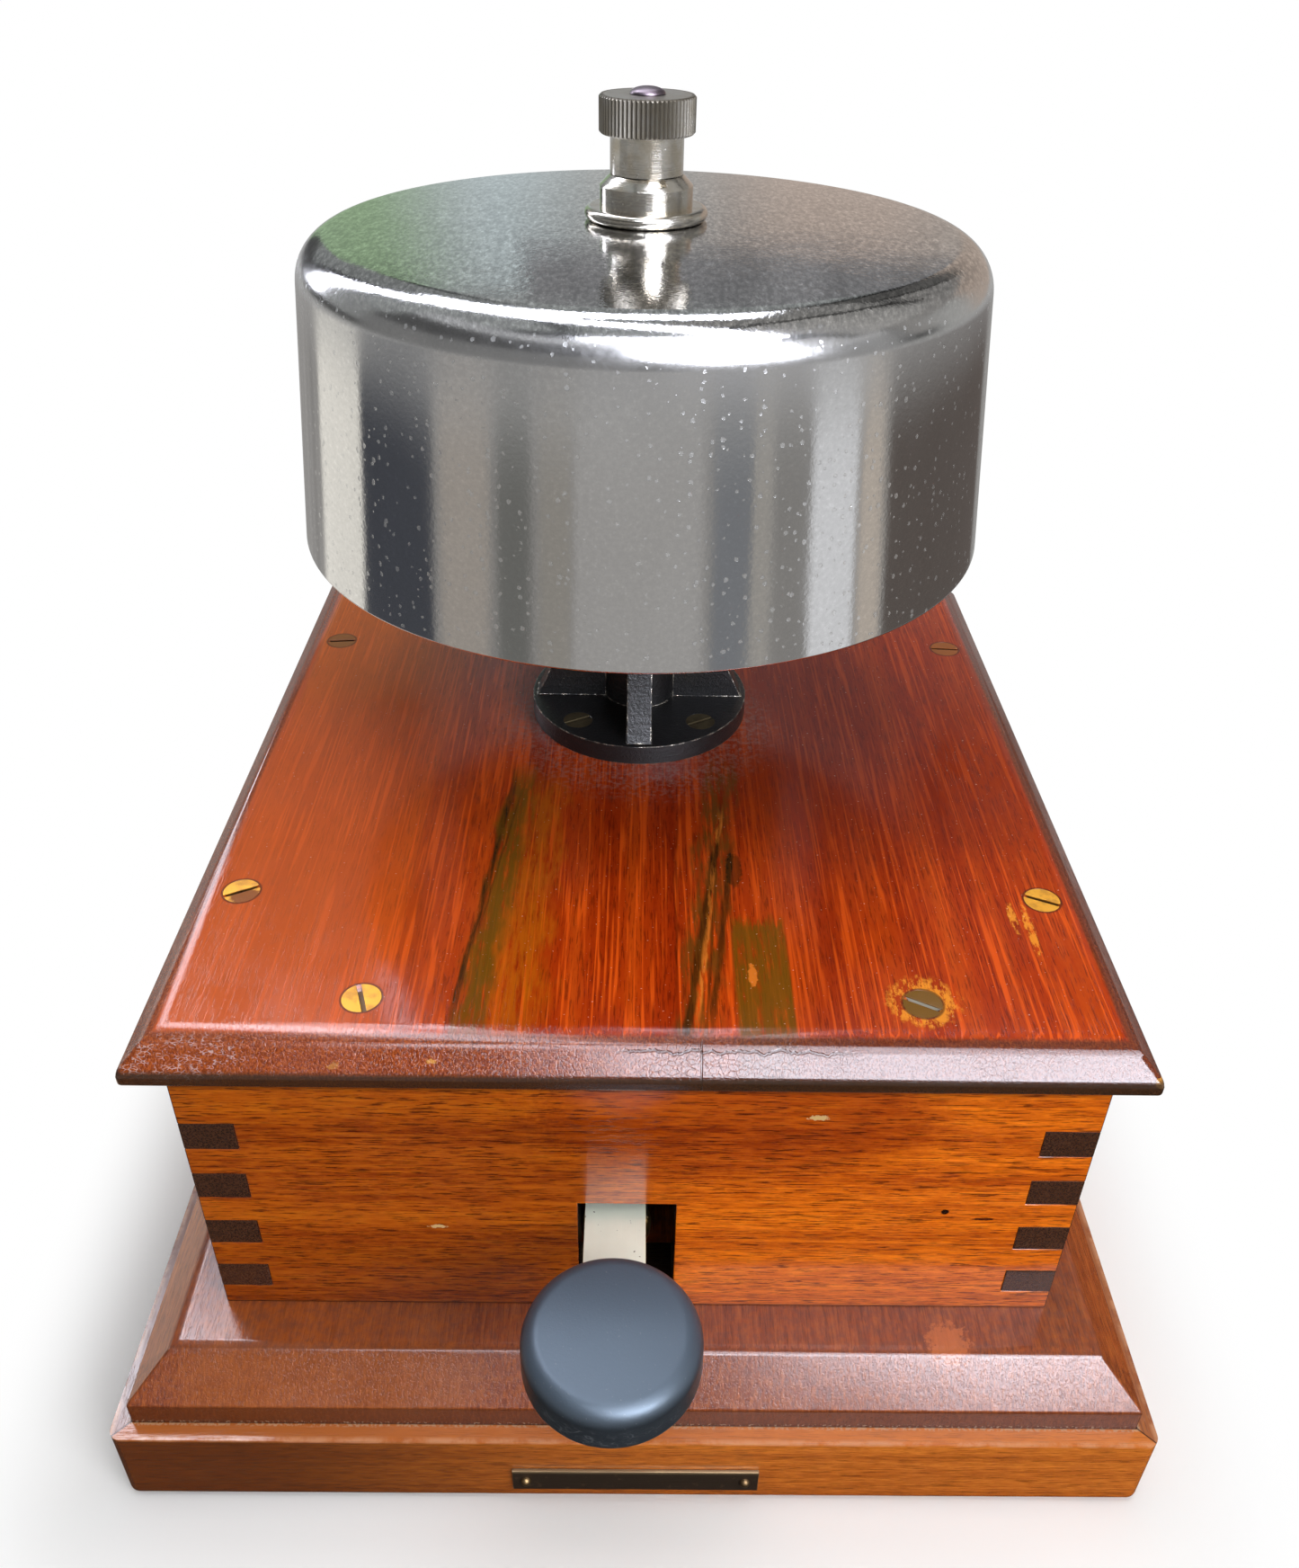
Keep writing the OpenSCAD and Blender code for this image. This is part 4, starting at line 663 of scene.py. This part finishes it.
colour = mix(haze * step(noise(place, 0.7, 4.0, 0.7), 0.42, 0.62) * 0.35, colour, (0.30, 0.20, 0.16))
# A painted shadow ring round each screw head, in the gap where it sits.
for at in lid_screw_turns:
    off = place.vector("DISTANCE", stretched(place, (1, 1, 0)), (*at, 0), output="Value")
    colour = mix(step(abs(off - screw_r), 0.45, 0.1) * 0.7, colour, (0.045, 0.014, 0.005))
bevel_at = lid_front - lid_bevel
bevels = step(axis(place, 2), lid_top - 0.25, lid_top - 0.7)
ends = step(abs(axis(place, 1)), bevel_at - 0.6, bevel_at + 0.6) * bevels
fibres = noise(stretched(place, (1.2, 0.8, 0.8)), 2.2, 3.0, 0.65)
colour = mix(bevels * 0.8, colour, ramp(fibres, lid_ends))
colour = mix(bevels * step(axis(place, 0), -30, 40) * 0.6, colour, (0.070, 0.014, 0.006))
# Crazed varnish at the front left corner: pale flakes, painted also as the glints of its tilted facets.
crazed = spot(place, (-88.0, 2.8 - lid_front, lid_top - 3.0), (15.0, 5.0, 5.0), 0.9)
flakes_and_glints = step(net(place, (0.6, 1.2, 1.2), 1.5), 0.10, 0.03)
flakes_and_glints = flakes_and_glints * step(noise(place, 0.8, 2.0), 0.45, 0.60) * crazed
colour = mix(flakes_and_glints * ends * 0.5, colour, (0.72, 0.56, 0.53))
nick = spot(place, (-39.0, -lid_front + 2.6, lid_top - 3.6), (1.0, 0.8, 0.4), 2.4)
nick = nick + spot(place, (-57.2, -lid_front + 1.8, lid_top - 4.4), (0.9, 0.8, 0.8), 3.0) * 0.5
nick = nick + spot(place, (97.0, -lid_front + 0.6, lid_top - 5.6), (1.6, 1.6, 1.0), 1.2)
colour = mix(nick * 0.9, colour, (0.620, 0.280, 0.050))
craze = step(net(place, (0.7, 1.0, 1.0), 0.9), 0.09, 0.02) * ends
craze = craze * step(noise(place, 0.05, 2.0), 0.42, 0.58)
crack_sway = (noise(stretched(place, (1.0, 0.0, 0.0)), 0.25, 3.0) - 0.5) * 2.6
crack_z = axis(place, 2) - (lid_top - 1.9) + crack_sway
split = step(abs(crack_z), 0.26, 0.08) * ends * step(axis(place, 0), -6, -2) * step(axis(place, 0), 42, 34)
split = split + step(abs(axis(place, 0) - 11.0), 0.28, 0.1) * ends
colour = mix(split * 0.8, colour, (0.060, 0.016, 0.008))
# The upright edge is dark end grain, darkened further with painted shade.
edge = step(axis(place, 2), lid_top - lid_edge, lid_top - lid_edge - 1.1)
colour = mix(edge * 0.9, colour, (0.030, 0.015, 0.006))
relief = relief - dark * 1.0 - craze * 0.9 + ends * fibres * 0.9 - rubs * 0.5 - split * 4.0
varnish(place, colour, relief, 0.11, 0.015)

shape = node_shape("lid")
ease(shape, top_edges(shape, lid_high.z), 3.0, 8)
hips = [edge for edge in sharp_edges(shape, 2.0)
        if all(abs(lid_high.x - abs(vert.co.x) - lid_high.y + abs(vert.co.y)) < NEAR
               for vert in edge.verts)]
ease(shape, hips, 0.9, 4)
ease(shape, sharp_edges(shape, 2.6), 0.35)
finish_piece(shape, lid_wood, "lid", "case")

# Lid screws: eight countersunk brass wood screws, varnished over with the lid.
# Each was driven home at its own turn, and most of those at the front have lost the varnish on their heads.
screw_brass, place = new_finish("varnished_brass")
film = step(noise(place, 0.30, 4.0, 0.6), 0.44, 0.62) * 0.4
film = film + step(axis(place, 1), -20, 20) + spot(place, rubbed_screw, (6.0, 6.0, 6.0), 0.6)
film = film + spot(place, (-83.6, -56.6, lid_top), (3.2, 2.4, 4.0), 0.6)
film = film.math("MINIMUM", film, 1.0)
# The slots are dark, but the front right screw's slot is painted pale silver as a highlight.
cut = step(axis(place, 2), lid_top - 0.12, lid_top - 0.35)
colour = mix(film, (0.86, 0.40, 0.03), (0.30, 0.085, 0.010))
olive_head = spot(place, rubbed_screw, (5.0, 5.0, 5.0))
colour = mix(olive_head * 0.8, colour, (0.150, 0.080, 0.005))
colour = mix(cut * 0.9, colour, mix(olive_head, (0.040, 0.020, 0.010), (0.55, 0.54, 0.48)))
scratch = noise(stretched(place, (1.0, 0.2, 1.0)), 5.0, 3.0, 0.7)
rough = 0.36 - film * 0.12
close_finish(place, scratch, 0.03, Base_Color=colour, Roughness=rough, Metallic=0.35 - film * 0.25)

shape = node_shape("lid_screws")
for at, turn in lid_screw_turns.items():
    middle = Vector((*at, lid_top)) * MM
    screw = [vert for vert in shape.verts if (vert.co.xy - middle.xy).length < 6 * MM]
    swing(shape, screw, turn, "Z", middle)
ease(shape, sharp_edges(shape, 3), 0.12, 2)
finish_piece(shape, screw_brass, "lid_screws", "case")

# Pillar: black-painted iron casting with a round foot and four ribs that sweep up to the bell.
# The paint has gone from its arrises, and four dark brass screws hold it to the lid.
eased("pillar", black_iron, "case", 0.35, 0.8)
dark_brass = machined("dark_brass", (0.200, 0.160, 0.085), (0.090, 0.070, 0.042), (1.0, 1.0, 1.0), 0.36)
eased("pillar_screws", dark_brass, "case", 0.12, 3)
dress(steel, "bell_spindle")
leather, place = new_finish("washer_leather")
grit = noise(place, 1.0, 4.0, 0.6)
colour = mix(grit, (0.075, 0.035, 0.016), (0.18, 0.09, 0.045))
close_finish(place, grit, 0.1, Base_Color=colour, Roughness=grit * 0.3 + 0.5)
dress(leather, "seat_washer")

# Dome: a bell-metal gong, turned, nickelled and polished, with fine pitting in the plating.
# It is a thin shell with a rounded shoulder and an almost flat crown, bored for the spindle.


def round_box(node):
    """A turned piece's axis on the plan, and its radius, foot and top in millimetres."""
    low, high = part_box(node)
    at = Vector(((low.x + high.x) / 2, (low.y + high.y) / 2, 0))
    return at, (high.x - low.x) / 2 / MM, low.z / MM, high.z / MM


def turned(profile, at, count=128):
    """A solid of revolution about Z: profile is a closed run of radius and height, in millimetres."""
    shape = bmesh.new()
    line = [shape.verts.new((at.x + radius * MM, at.y, height * MM)) for radius, height in profile]
    edges = [shape.edges.new(pair) for pair in zip(line, line[1:] + line[:1])]
    bmesh.ops.spin(shape, geom=line + edges, cent=at, axis=(0, 0, 1), angle=math.tau, steps=count,
                   use_merge=True)
    bmesh.ops.remove_doubles(shape, verts=shape.verts, dist=0.0005 * MM)
    bmesh.ops.dissolve_degenerate(shape, edges=shape.edges, dist=0.0005 * MM)
    bmesh.ops.recalc_face_normals(shape, faces=shape.faces)
    return shape


bell_at, rim_r, rim_z, crown_z = round_box("dome")
bell_h = 63.3
draw_in = 4.8
shoulder = 9.0
flat_r = 14
crown_drop = 1.4
bore = 4.06
wall = 3.0
shoulder_z = rim_z + bell_h - shoulder
crown_r = rim_r - draw_in - shoulder
tilt = math.degrees(math.atan2(draw_in, bell_h - shoulder))


def bell_skin(inset):
    """Half outline of the gong's skin, from the lip up and in to the bore."""
    flat = crown_z - inset
    lip = rim_r - inset / math.cos(math.radians(tilt))
    rise = [(crown_r * (1 - part / 8) + flat_r * part / 8) for part in range(1, 9)]
    crown = [(radius, flat - crown_drop * ((radius - flat_r) / (crown_r - flat_r)) ** 2) for radius in rise]
    curve = arc((crown_r, shoulder_z), shoulder - inset, tilt, 87, 14)
    return [(lip, rim_z)] + curve + crown + [(bore, flat)]


bell_nickel, place = new_finish("polished_nickel")
cells = place.node("ShaderNodeTexVoronoi", {"Vector": place, "Scale": 0.56})
kind = axis(Shade(place.tree, cells.socket.node.outputs["Color"]), 0)
top = step(axis(place, 2), crown_z - 7, crown_z - 2)
bend = step(axis(place, 2), shoulder_z - 14, shoulder_z + 3) * (1 - top)
blob = cells + (noise(place, 2.2, 3.0, 0.65) - 0.5) * 0.45 - kind * 0.26
pits = step(blob, 0.05, -0.05) * (1 - top)
sand = noise(stretched(place, (1.0, 0.4, 1.0)), 1.1, 3.0, 0.7)
grains = step(sand, 0.36, 0.64)
cloud = noise(stretched(place, (1.0, 1.0, 0.35)), 0.045, 4.0, 0.6)
peel = noise(place, 1.3, 2.0, 0.5)
sway = noise(stretched(place, (1.0, 1.0, 0.15)), 0.05, 2.0, 0.5)
colour = mix(cloud, (0.60, 0.595, 0.585), (0.72, 0.715, 0.705))
colour = mix(grains * (top * 0.7 + 0.12), colour, (0.30, 0.30, 0.30))
colour = mix(step(sand, 0.40, 0.30) * (top * 0.75 + 0.2), colour, (0.95, 0.95, 0.95))
colour = mix(pits * 0.3, colour, (0.76, 0.77, 0.77))
rough = pits * 0.13 + grains * 0.04 + step(cloud, 0.4, 0.7) * 0.04 + bend * 0.11 + 0.065
close_finish(place, peel * (top * 0.7 + 0.3) + sway * 6.0 - pits * 0.4, 0.03, Base_Color=colour,
             Roughness=rough, Metallic=1.0 - pits * 0.07)
shape = turned(bell_skin(0) + bell_skin(wall)[::-1], bell_at, 192)
ease(shape, sharp_edges(shape, 0.5, 50), 0.5, 3)
finish_piece(shape, bell_nickel, "dome", "dome")

# Top fitting: a flanged washer, a notched collar and a knurled thumb knob clamp the dome on its spindle.
# They are turned brass, nickelled, and worn warm, with grime in the knurl; the cap screw is blued steel.
head_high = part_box("thumb_knob")[1]
head_r = round_box("thumb_knob")[1]
head_h = 7.0
neck_top = head_high.z / MM - head_h
fitting, place = new_finish("warm_nickel")
off = place.vector("SUBTRACT", place, bell_at / MM)
round_r = place.vector("LENGTH", stretched(off, (1, 1, 0)), output="Value")
knurl = step(axis(place, 2), neck_top - 0.1, neck_top + 0.2)
groove = step(round_r, head_r - 0.10, head_r - 0.38) * step(round_r, head_r - 1.2, head_r - 0.8) * knurl
tool = noise(stretched(place, (0.05, 0.05, 1.0)), 4.5, 3.0, 0.6)
cloud = noise(place, 0.25, 4.0, 0.6)
specks = step(noise(place, 1.6, 3.0, 0.6), 0.64, 0.72)
colour = mix(step(cloud, 0.35, 0.7), (0.60, 0.575, 0.52), (0.52, 0.47, 0.38))
grime = groove * 0.45 + specks * knurl * 0.25 + knurl * 0.55
colour = mix(grime.math("MINIMUM", grime, 1.0), colour, (0.060, 0.050, 0.034))
rough = tool * 0.1 + knurl * 0.14 + specks * 0.12 + groove * 0.2 + 0.13
close_finish(place, tool * 0.6 + cloud * 0.4 - specks * 0.3, 0.03, Base_Color=colour, Roughness=rough,
             Metallic=1 - groove * 0.5)

flange_r, flange_z, flange_top = round_box("dome_flange")[1:]
flange_round = (flange_top - flange_z) / 2
rim = arc((flange_r - flange_round, flange_z + flange_round), flange_round, -90, 90, 16)
shape = turned([(bore, flange_z)] + rim + [(bore, flange_top)], bell_at)
finish_piece(shape, fitting, "dome_flange", "dome")
eased("dome_collar", fitting, "dome", 0.22, 0.2)
eased("thumb_knob", fitting, "thumb_knob", 0.08, 3)
cap_steel = machined("blued_steel", (0.17, 0.14, 0.16), (0.10, 0.075, 0.085), (1.0, 1.0, 1.0), 0.27)
shape = node_shape("cap_screw")
seat = Vector((bell_at.x, bell_at.y, head_high.z))
lens = [vert for vert in shape.verts if vert.co.z > head_high.z]
bmesh.ops.scale(shape, vec=(1.0, 1.0, 0.6), space=Matrix.Translation(-seat), verts=lens)
ease(shape, sharp_edges(shape, 1), 0.1, 2)
finish_piece(shape, cap_steel, "cap_screw", "case")

# Tapper: a flat lever of nickelled brass, brushed lengthwise, with a turned ebonite knob screwed on.
# The plating has worn through to brass along the lever's edges.
lever_metal, place = new_finish("brushed_lever")
worn = worn_faces(place)
brush = noise(stretched(place, (1.0, 0.04, 1.0)), 3.4, 4.0, 0.7)
cloud = noise(place, 0.2, 3.0, 0.6)
pits = step(noise(place, 0.9, 2.0, 0.5), 0.71, 0.75)
colour = mix(cloud, (0.76, 0.81, 0.68), (0.87, 0.92, 0.79))
colour = mix(worn * 0.8, colour, (0.78, 0.58, 0.22))
colour = mix(pits, colour, (0.10, 0.09, 0.05))
close_finish(place, brush, 0.02, Base_Color=colour, Roughness=brush * 0.2 + 0.36, Metallic=0.3 - pits * 0.2)
eased("tapper_lever", lever_metal, "tapper", 0.3, 3)

knob_at, knob_r, knob_z, knob_top = round_box("tapper_knob")
round_top, round_low, knob_crown = 3.7, 2.0, 0.35
hole_r, hole_deep = 1.35, 6.05
crown_edge = knob_r - round_top
side = arc((knob_r - round_low, knob_z + round_low), round_low, -90, 0, 10)
side = side + arc((crown_edge, knob_top - knob_crown - round_top), round_top, 0, 84, 16)
crown = [(crown_edge * part / 8, knob_top - knob_crown * (part / 8) ** 2) for part in range(8, -1, -1)]
hole_top = knob_z + hole_deep
shape = turned([(hole_r, knob_z)] + side + crown + [(0, hole_top), (hole_r, hole_top)], knob_at)
knob_ebonite = ebonite("knob_ebonite", 0.34, (0.014, 0.018, 0.024))
finish_piece(shape, knob_ebonite, "tapper_knob", "tapper")
eased("tapper_knob_screw", steel, "tapper", 0.1, 3)

# Studio: a pale floor, soft lamps overhead and at the front right, and cards, screens and arches.
# The camera doesn't see the last three, which show only in reflections.
floor_r = 9.0
shadow_w = 42.0
strip_right, strip_left, strip_front = -125.0, -248.0, -150.0
far_floor = 300.0
floor_mesh = bpy.data.meshes.new("floor")
shape = bmesh.new()
bmesh.ops.create_circle(shape, cap_ends=True, segments=96, radius=floor_r)
shape.to_mesh(floor_mesh)
shape.free()
floor = bpy.data.objects.new("floor", floor_mesh)
bpy.context.scene.collection.objects.link(floor)
pale, place = new_finish("pale_floor")
seen = place.node("ShaderNodeLightPath", output="Is Camera Ray")
mirrored = place.node("ShaderNodeLightPath", output="Is Glossy Ray")
white = place.node("ShaderNodeEmission", {"Color": (1, 1, 1, 1), "Strength": 1.0})
matt = place.node("ShaderNodeBsdfDiffuse", {"Color": (0.86, 0.86, 0.86, 1)})
beside = abs(axis(place, 0)) - cad_box[1].x / MM
beside = beside.math("MAXIMUM", beside, 0.0)
before = abs(axis(place, 1)) - cad_box[1].y / MM
before = before.math("MAXIMUM", before, 0.0)
away = beside * beside + before * before
away = away.math("SQRT", away)
surface = place.node("ShaderNodeMixShader", {0: step(away, 4.0, shadow_w) * seen, 1: matt, 2: white})
# In reflections the floor glows like a lamp: a dark table with a bright warm strip to the left, turning
# grey far off.
glowing_strip = step(axis(place, 0), strip_right, strip_right - 35.0)
glowing_strip = glowing_strip * step(axis(place, 0), strip_left, strip_left + 26.0)
glowing_strip = glowing_strip * step(axis(place, 1), strip_front, strip_front + 60.0)
floor_glow_in_gloss = mix(glowing_strip, (0.05, 0.045, 0.04), (1.30, 1.05, 0.88))
reach = place.vector("LENGTH", place, output="Value")
floor_glow_in_gloss = mix(step(reach, far_floor, far_floor + 70.0), floor_glow_in_gloss, (0.42, 0.42, 0.41))
dull = place.node("ShaderNodeEmission", {"Color": floor_glow_in_gloss, "Strength": 1.0})
surface = place.node("ShaderNodeMixShader", {0: mirrored, 1: surface, 2: dull})
place.node("ShaderNodeOutputMaterial", {"Surface": surface})
floor_mesh.materials.append(pale)

world = bpy.data.worlds.new("white_room")
bpy.context.scene.world = world
world.use_nodes = True
world.node_tree.nodes.clear()
room = Shade(world.node_tree)
seen = room.node("ShaderNodeLightPath", output="Is Camera Ray")
mirrored = room.node("ShaderNodeLightPath", output="Is Glossy Ray")
through = room.node("ShaderNodeLightPath", output="Is Transmission Ray")
backdrop = room.node("ShaderNodeBackground", {"Color": (1, 1, 1, 1), "Strength": 1.0})
fill = room.node("ShaderNodeBackground", {"Color": (1, 1, 1, 1), "Strength": 0.3})
gloom = room.node("ShaderNodeBackground", {"Color": (1, 1, 1, 1), "Strength": 0.08})
sky = room.node("ShaderNodeMixShader", {0: mirrored, 1: fill, 2: gloom})
sky = room.node("ShaderNodeMixShader", {0: seen.math("MAXIMUM", seen, through), 1: sky, 2: backdrop})
room.node("ShaderNodeOutputWorld", {"Surface": sky})


def soft_lamp(name, place, size, radiance, shine=False):
    """A softbox turned to the bell, which lights surfaces, or with shine shows only in gloss."""
    light = bpy.data.lights.new(name, "AREA")
    light.shape = "RECTANGLE"
    light.size, light.size_y = size
    light.energy = radiance * math.pi * size[0] * size[1]
    light.color = (0.86, 0.89, 1.0) if shine else (1.0, 1.0, 1.0)
    lamp = bpy.data.objects.new(name, light)
    lamp.location = place
    lamp.rotation_euler = (Vector((0, 0, 0.1)) - Vector(place)).to_track_quat("-Z", "Y").to_euler()
    lamp.visible_camera = False
    lamp.visible_diffuse = not shine
    lamp.visible_glossy = shine
    bpy.context.scene.collection.objects.link(lamp)


soft_lamp("overhead_box", (0.05, -0.05, 1.20), (0.90, 0.90), 2.6)
soft_lamp("front_box", (0.50, -0.64, 0.54), (0.50, 0.40), 8.5)
soft_lamp("front_card", (0.36, -0.88, 0.80), (0.78, 0.42), 20.0, True)
soft_lamp("low_card", (0.54, -0.84, 0.55), (0.56, 0.26), 15.0, True)
soft_lamp("high_card", (0.15, -0.58, 1.05), (0.80, 0.40), 12.0, True)
soft_lamp("corner_card", (-0.38, 0.44, 0.90), (0.28, 0.17), 6.5, True)
soft_lamp("rear_card", (-0.04, 0.50, 1.10), (0.60, 0.34), 6.0, True)


def glow_card(name, shape):
    """Stands a bmesh in the studio as a card that shows only in gloss, and starts the maths of its glow."""
    mesh = bpy.data.meshes.new(name)
    shape.to_mesh(mesh)
    shape.free()
    made = bpy.data.objects.new(name, mesh)
    bpy.context.scene.collection.objects.link(made)
    made.visible_camera = False
    made.visible_diffuse = False
    made.visible_shadow = False
    material, place = new_finish(name)
    mesh.materials.append(material)
    return place


def sky_arch(name, radius, half, turn, rises, tone, strength):
    """A glowing strip bent over the bell between two rises, in a plane turned from front to back."""
    shape = bmesh.new()
    line = [shape.verts.new((side, radius, 0)) for side in (-half, half)]
    swing(shape, line, rises[0], "X")
    bmesh.ops.spin(shape, geom=line + [shape.edges.new(line)], cent=(0, 0, 0), axis=(1, 0, 0),
                   angle=math.radians(rises[1] - rises[0]), steps=48)
    swing(shape, shape.verts, turn, "Z")
    bmesh.ops.translate(shape, vec=(0, 0, 0.12), verts=shape.verts)
    place = glow_card(name, shape)
    across = axis(place, 0) * math.cos(math.radians(turn)) + axis(place, 1) * math.sin(math.radians(turn))
    glow = mix(step(abs(across) * MM, half, half * 0.6), (0, 0, 0), tone)
    light = place.node("ShaderNodeEmission", {"Color": glow, "Strength": strength})
    place.node("ShaderNodeOutputMaterial", {"Surface": light})


def screen(name, radius, heights, bearings, ground, boards=(), haze=None, soft=1.5):
    """A curved screen round the bell between two bearings, with soft-edged upright boards on it."""
    shape = bmesh.new()
    line = [shape.verts.new((0, -radius, height)) for height in heights]
    swing(shape, line, bearings[0], "Z")
    bmesh.ops.spin(shape, geom=line + [shape.edges.new(line)], cent=(0, 0, 0), axis=(0, 0, 1),
                   angle=math.radians(bearings[1] - bearings[0]), steps=64)
    place = glow_card(name, shape)
    bearing = place.math("ARCTAN2", axis(place, 0), axis(place, 1) * -1.0) * math.degrees(1)
    sockets = {"W": bearing, "Scale": 0.25, "Detail": 2.0}
    folds = place.node("ShaderNodeTexNoise", sockets, noise_dimensions="1D")
    glow = mix(folds, [channel * 0.6 for channel in ground], [channel * 1.4 for channel in ground])
    for middle, half, tone in boards:
        glow = mix(step(abs(bearing - middle), half + soft, half - soft), glow, tone)
    if haze:
        glow = mix(step(axis(place, 2), haze[0], haze[1]), glow, haze[2])
    light = place.node("ShaderNodeEmission", {"Color": glow, "Strength": 1.0})
    place.node("ShaderNodeOutputMaterial", {"Surface": light})


low_boards = ((-109, 13, (1.0, 0.97, 0.90)), (-81, 15, (0.07, 0.075, 0.09)), (-55, 8, (0.43, 0.39, 0.35)),
              (-39, 5, (0.19, 0.19, 0.18)), (-26, 5, (0.36, 0.34, 0.31)), (-1, 19, (0.45, 0.44, 0.43)),
              (27, 6, (0.24, 0.25, 0.27)), (36, 3, (0.44, 0.42, 0.39)), (45, 5, (0.30, 0.29, 0.28)),
              (60, 8, (0.86, 0.87, 0.90)), (74, 4, (0.62, 0.55, 0.48)), (110, 30, (0.13, 0.11, 0.10)))
low_haze = (110, 210, (0.5, 0.5, 0.5))
screen("low_screen", 0.46, (0, 0.20), (-175, 175), (0.34, 0.33, 0.32), low_boards, low_haze)
rear_boards = ((-158, 10, (0.34, 0.48, 0.30)), (-171, 4, (0.56, 0.64, 0.66)), (168, 7, (0.56, 0.46, 0.40)),
               (142, 18, (0.50, 0.41, 0.35)))
screen("rear_screen", 0.62, (0.2, 0.46), (100, 206), (0.44, 0.44, 0.43), rear_boards, None, 5.0)
screen("crown_screen", 0.60, (0.39, 0.50), (158, 188), (0.26, 0.26, 0.27))
screen("front_low_screen", 0.62, (0.19, 0.45), (-95, 10), (0.22, 0.22, 0.22))
screen("front_mid_screen", 1.10, (0.10, 0.62), (-4, 85), (0.35, 0.35, 0.35))
screen("front_left_screen", 0.62, (0.45, 0.74), (-95, -4), (0.07, 0.07, 0.07))
screen("front_high_screen", 0.62, (0.75, 1.0), (-95, -4), (0.55, 0.56, 0.58))
screen("front_right_screen", 1.40, (0.45, 1.40), (22, 85), (0.50, 0.50, 0.50))
screen("right_screen", 1.20, (0.35, 1.20), (88, 150), (0.32, 0.31, 0.30))
screen("left_screen", 1.20, (0.35, 1.20), (-130, -98), (0.32, 0.33, 0.33))
sky_arch("sky_arch", 1.1, 0.11, 50, (10, 128), (0.87, 0.89, 1.0), 10.0)
sky_arch("rear_arch", 1.30, 0.40, 0, (10, 112), (0.95, 1.0, 1.0), 0.4)
sky_arch("left_arch", 1.30, 0.28, 27, (16, 70), (0.95, 1.0, 1.0), 0.3)
sky_arch("right_arch", 1.30, 0.34, -30, (46, 86), (1.0, 0.98, 0.95), 0.35)
sky_arch("low_right_arch", 1.32, 0.16, -27, (18, 47), (1.0, 0.98, 0.95), 0.13)
sky_arch("far_left_arch", 1.40, 0.60, 82, (32, 86), (0.95, 1.0, 1.0), 0.4)
sky_arch("far_right_arch", 1.40, 0.60, -82, (32, 86), (1.0, 0.98, 0.95), 0.45)

eye = Vector((-2.0, -267.1, 299.4)) * MM
yaw, pitch, roll = 0.774, 34.827, 1.157
picture_h = 1744
focal_px = 1443.0
camera_data = bpy.data.cameras.new("photo_camera")
camera_data.sensor_width = 36.0
camera_data.lens = focal_px * camera_data.sensor_width / picture_h
camera_data.clip_start = 0.01
camera = bpy.data.objects.new("photo_camera", camera_data)
turn = (Matrix.Rotation(math.radians(-yaw), 4, "Z") @ Matrix.Rotation(math.radians(90 - pitch), 4, "X")
        @ Matrix.Rotation(math.radians(roll), 4, "Z"))
camera.matrix_world = Matrix.Translation(eye) @ turn
bpy.context.scene.collection.objects.link(camera)
bpy.context.scene.camera = camera
bpy.context.scene.view_settings.view_transform = "Standard"
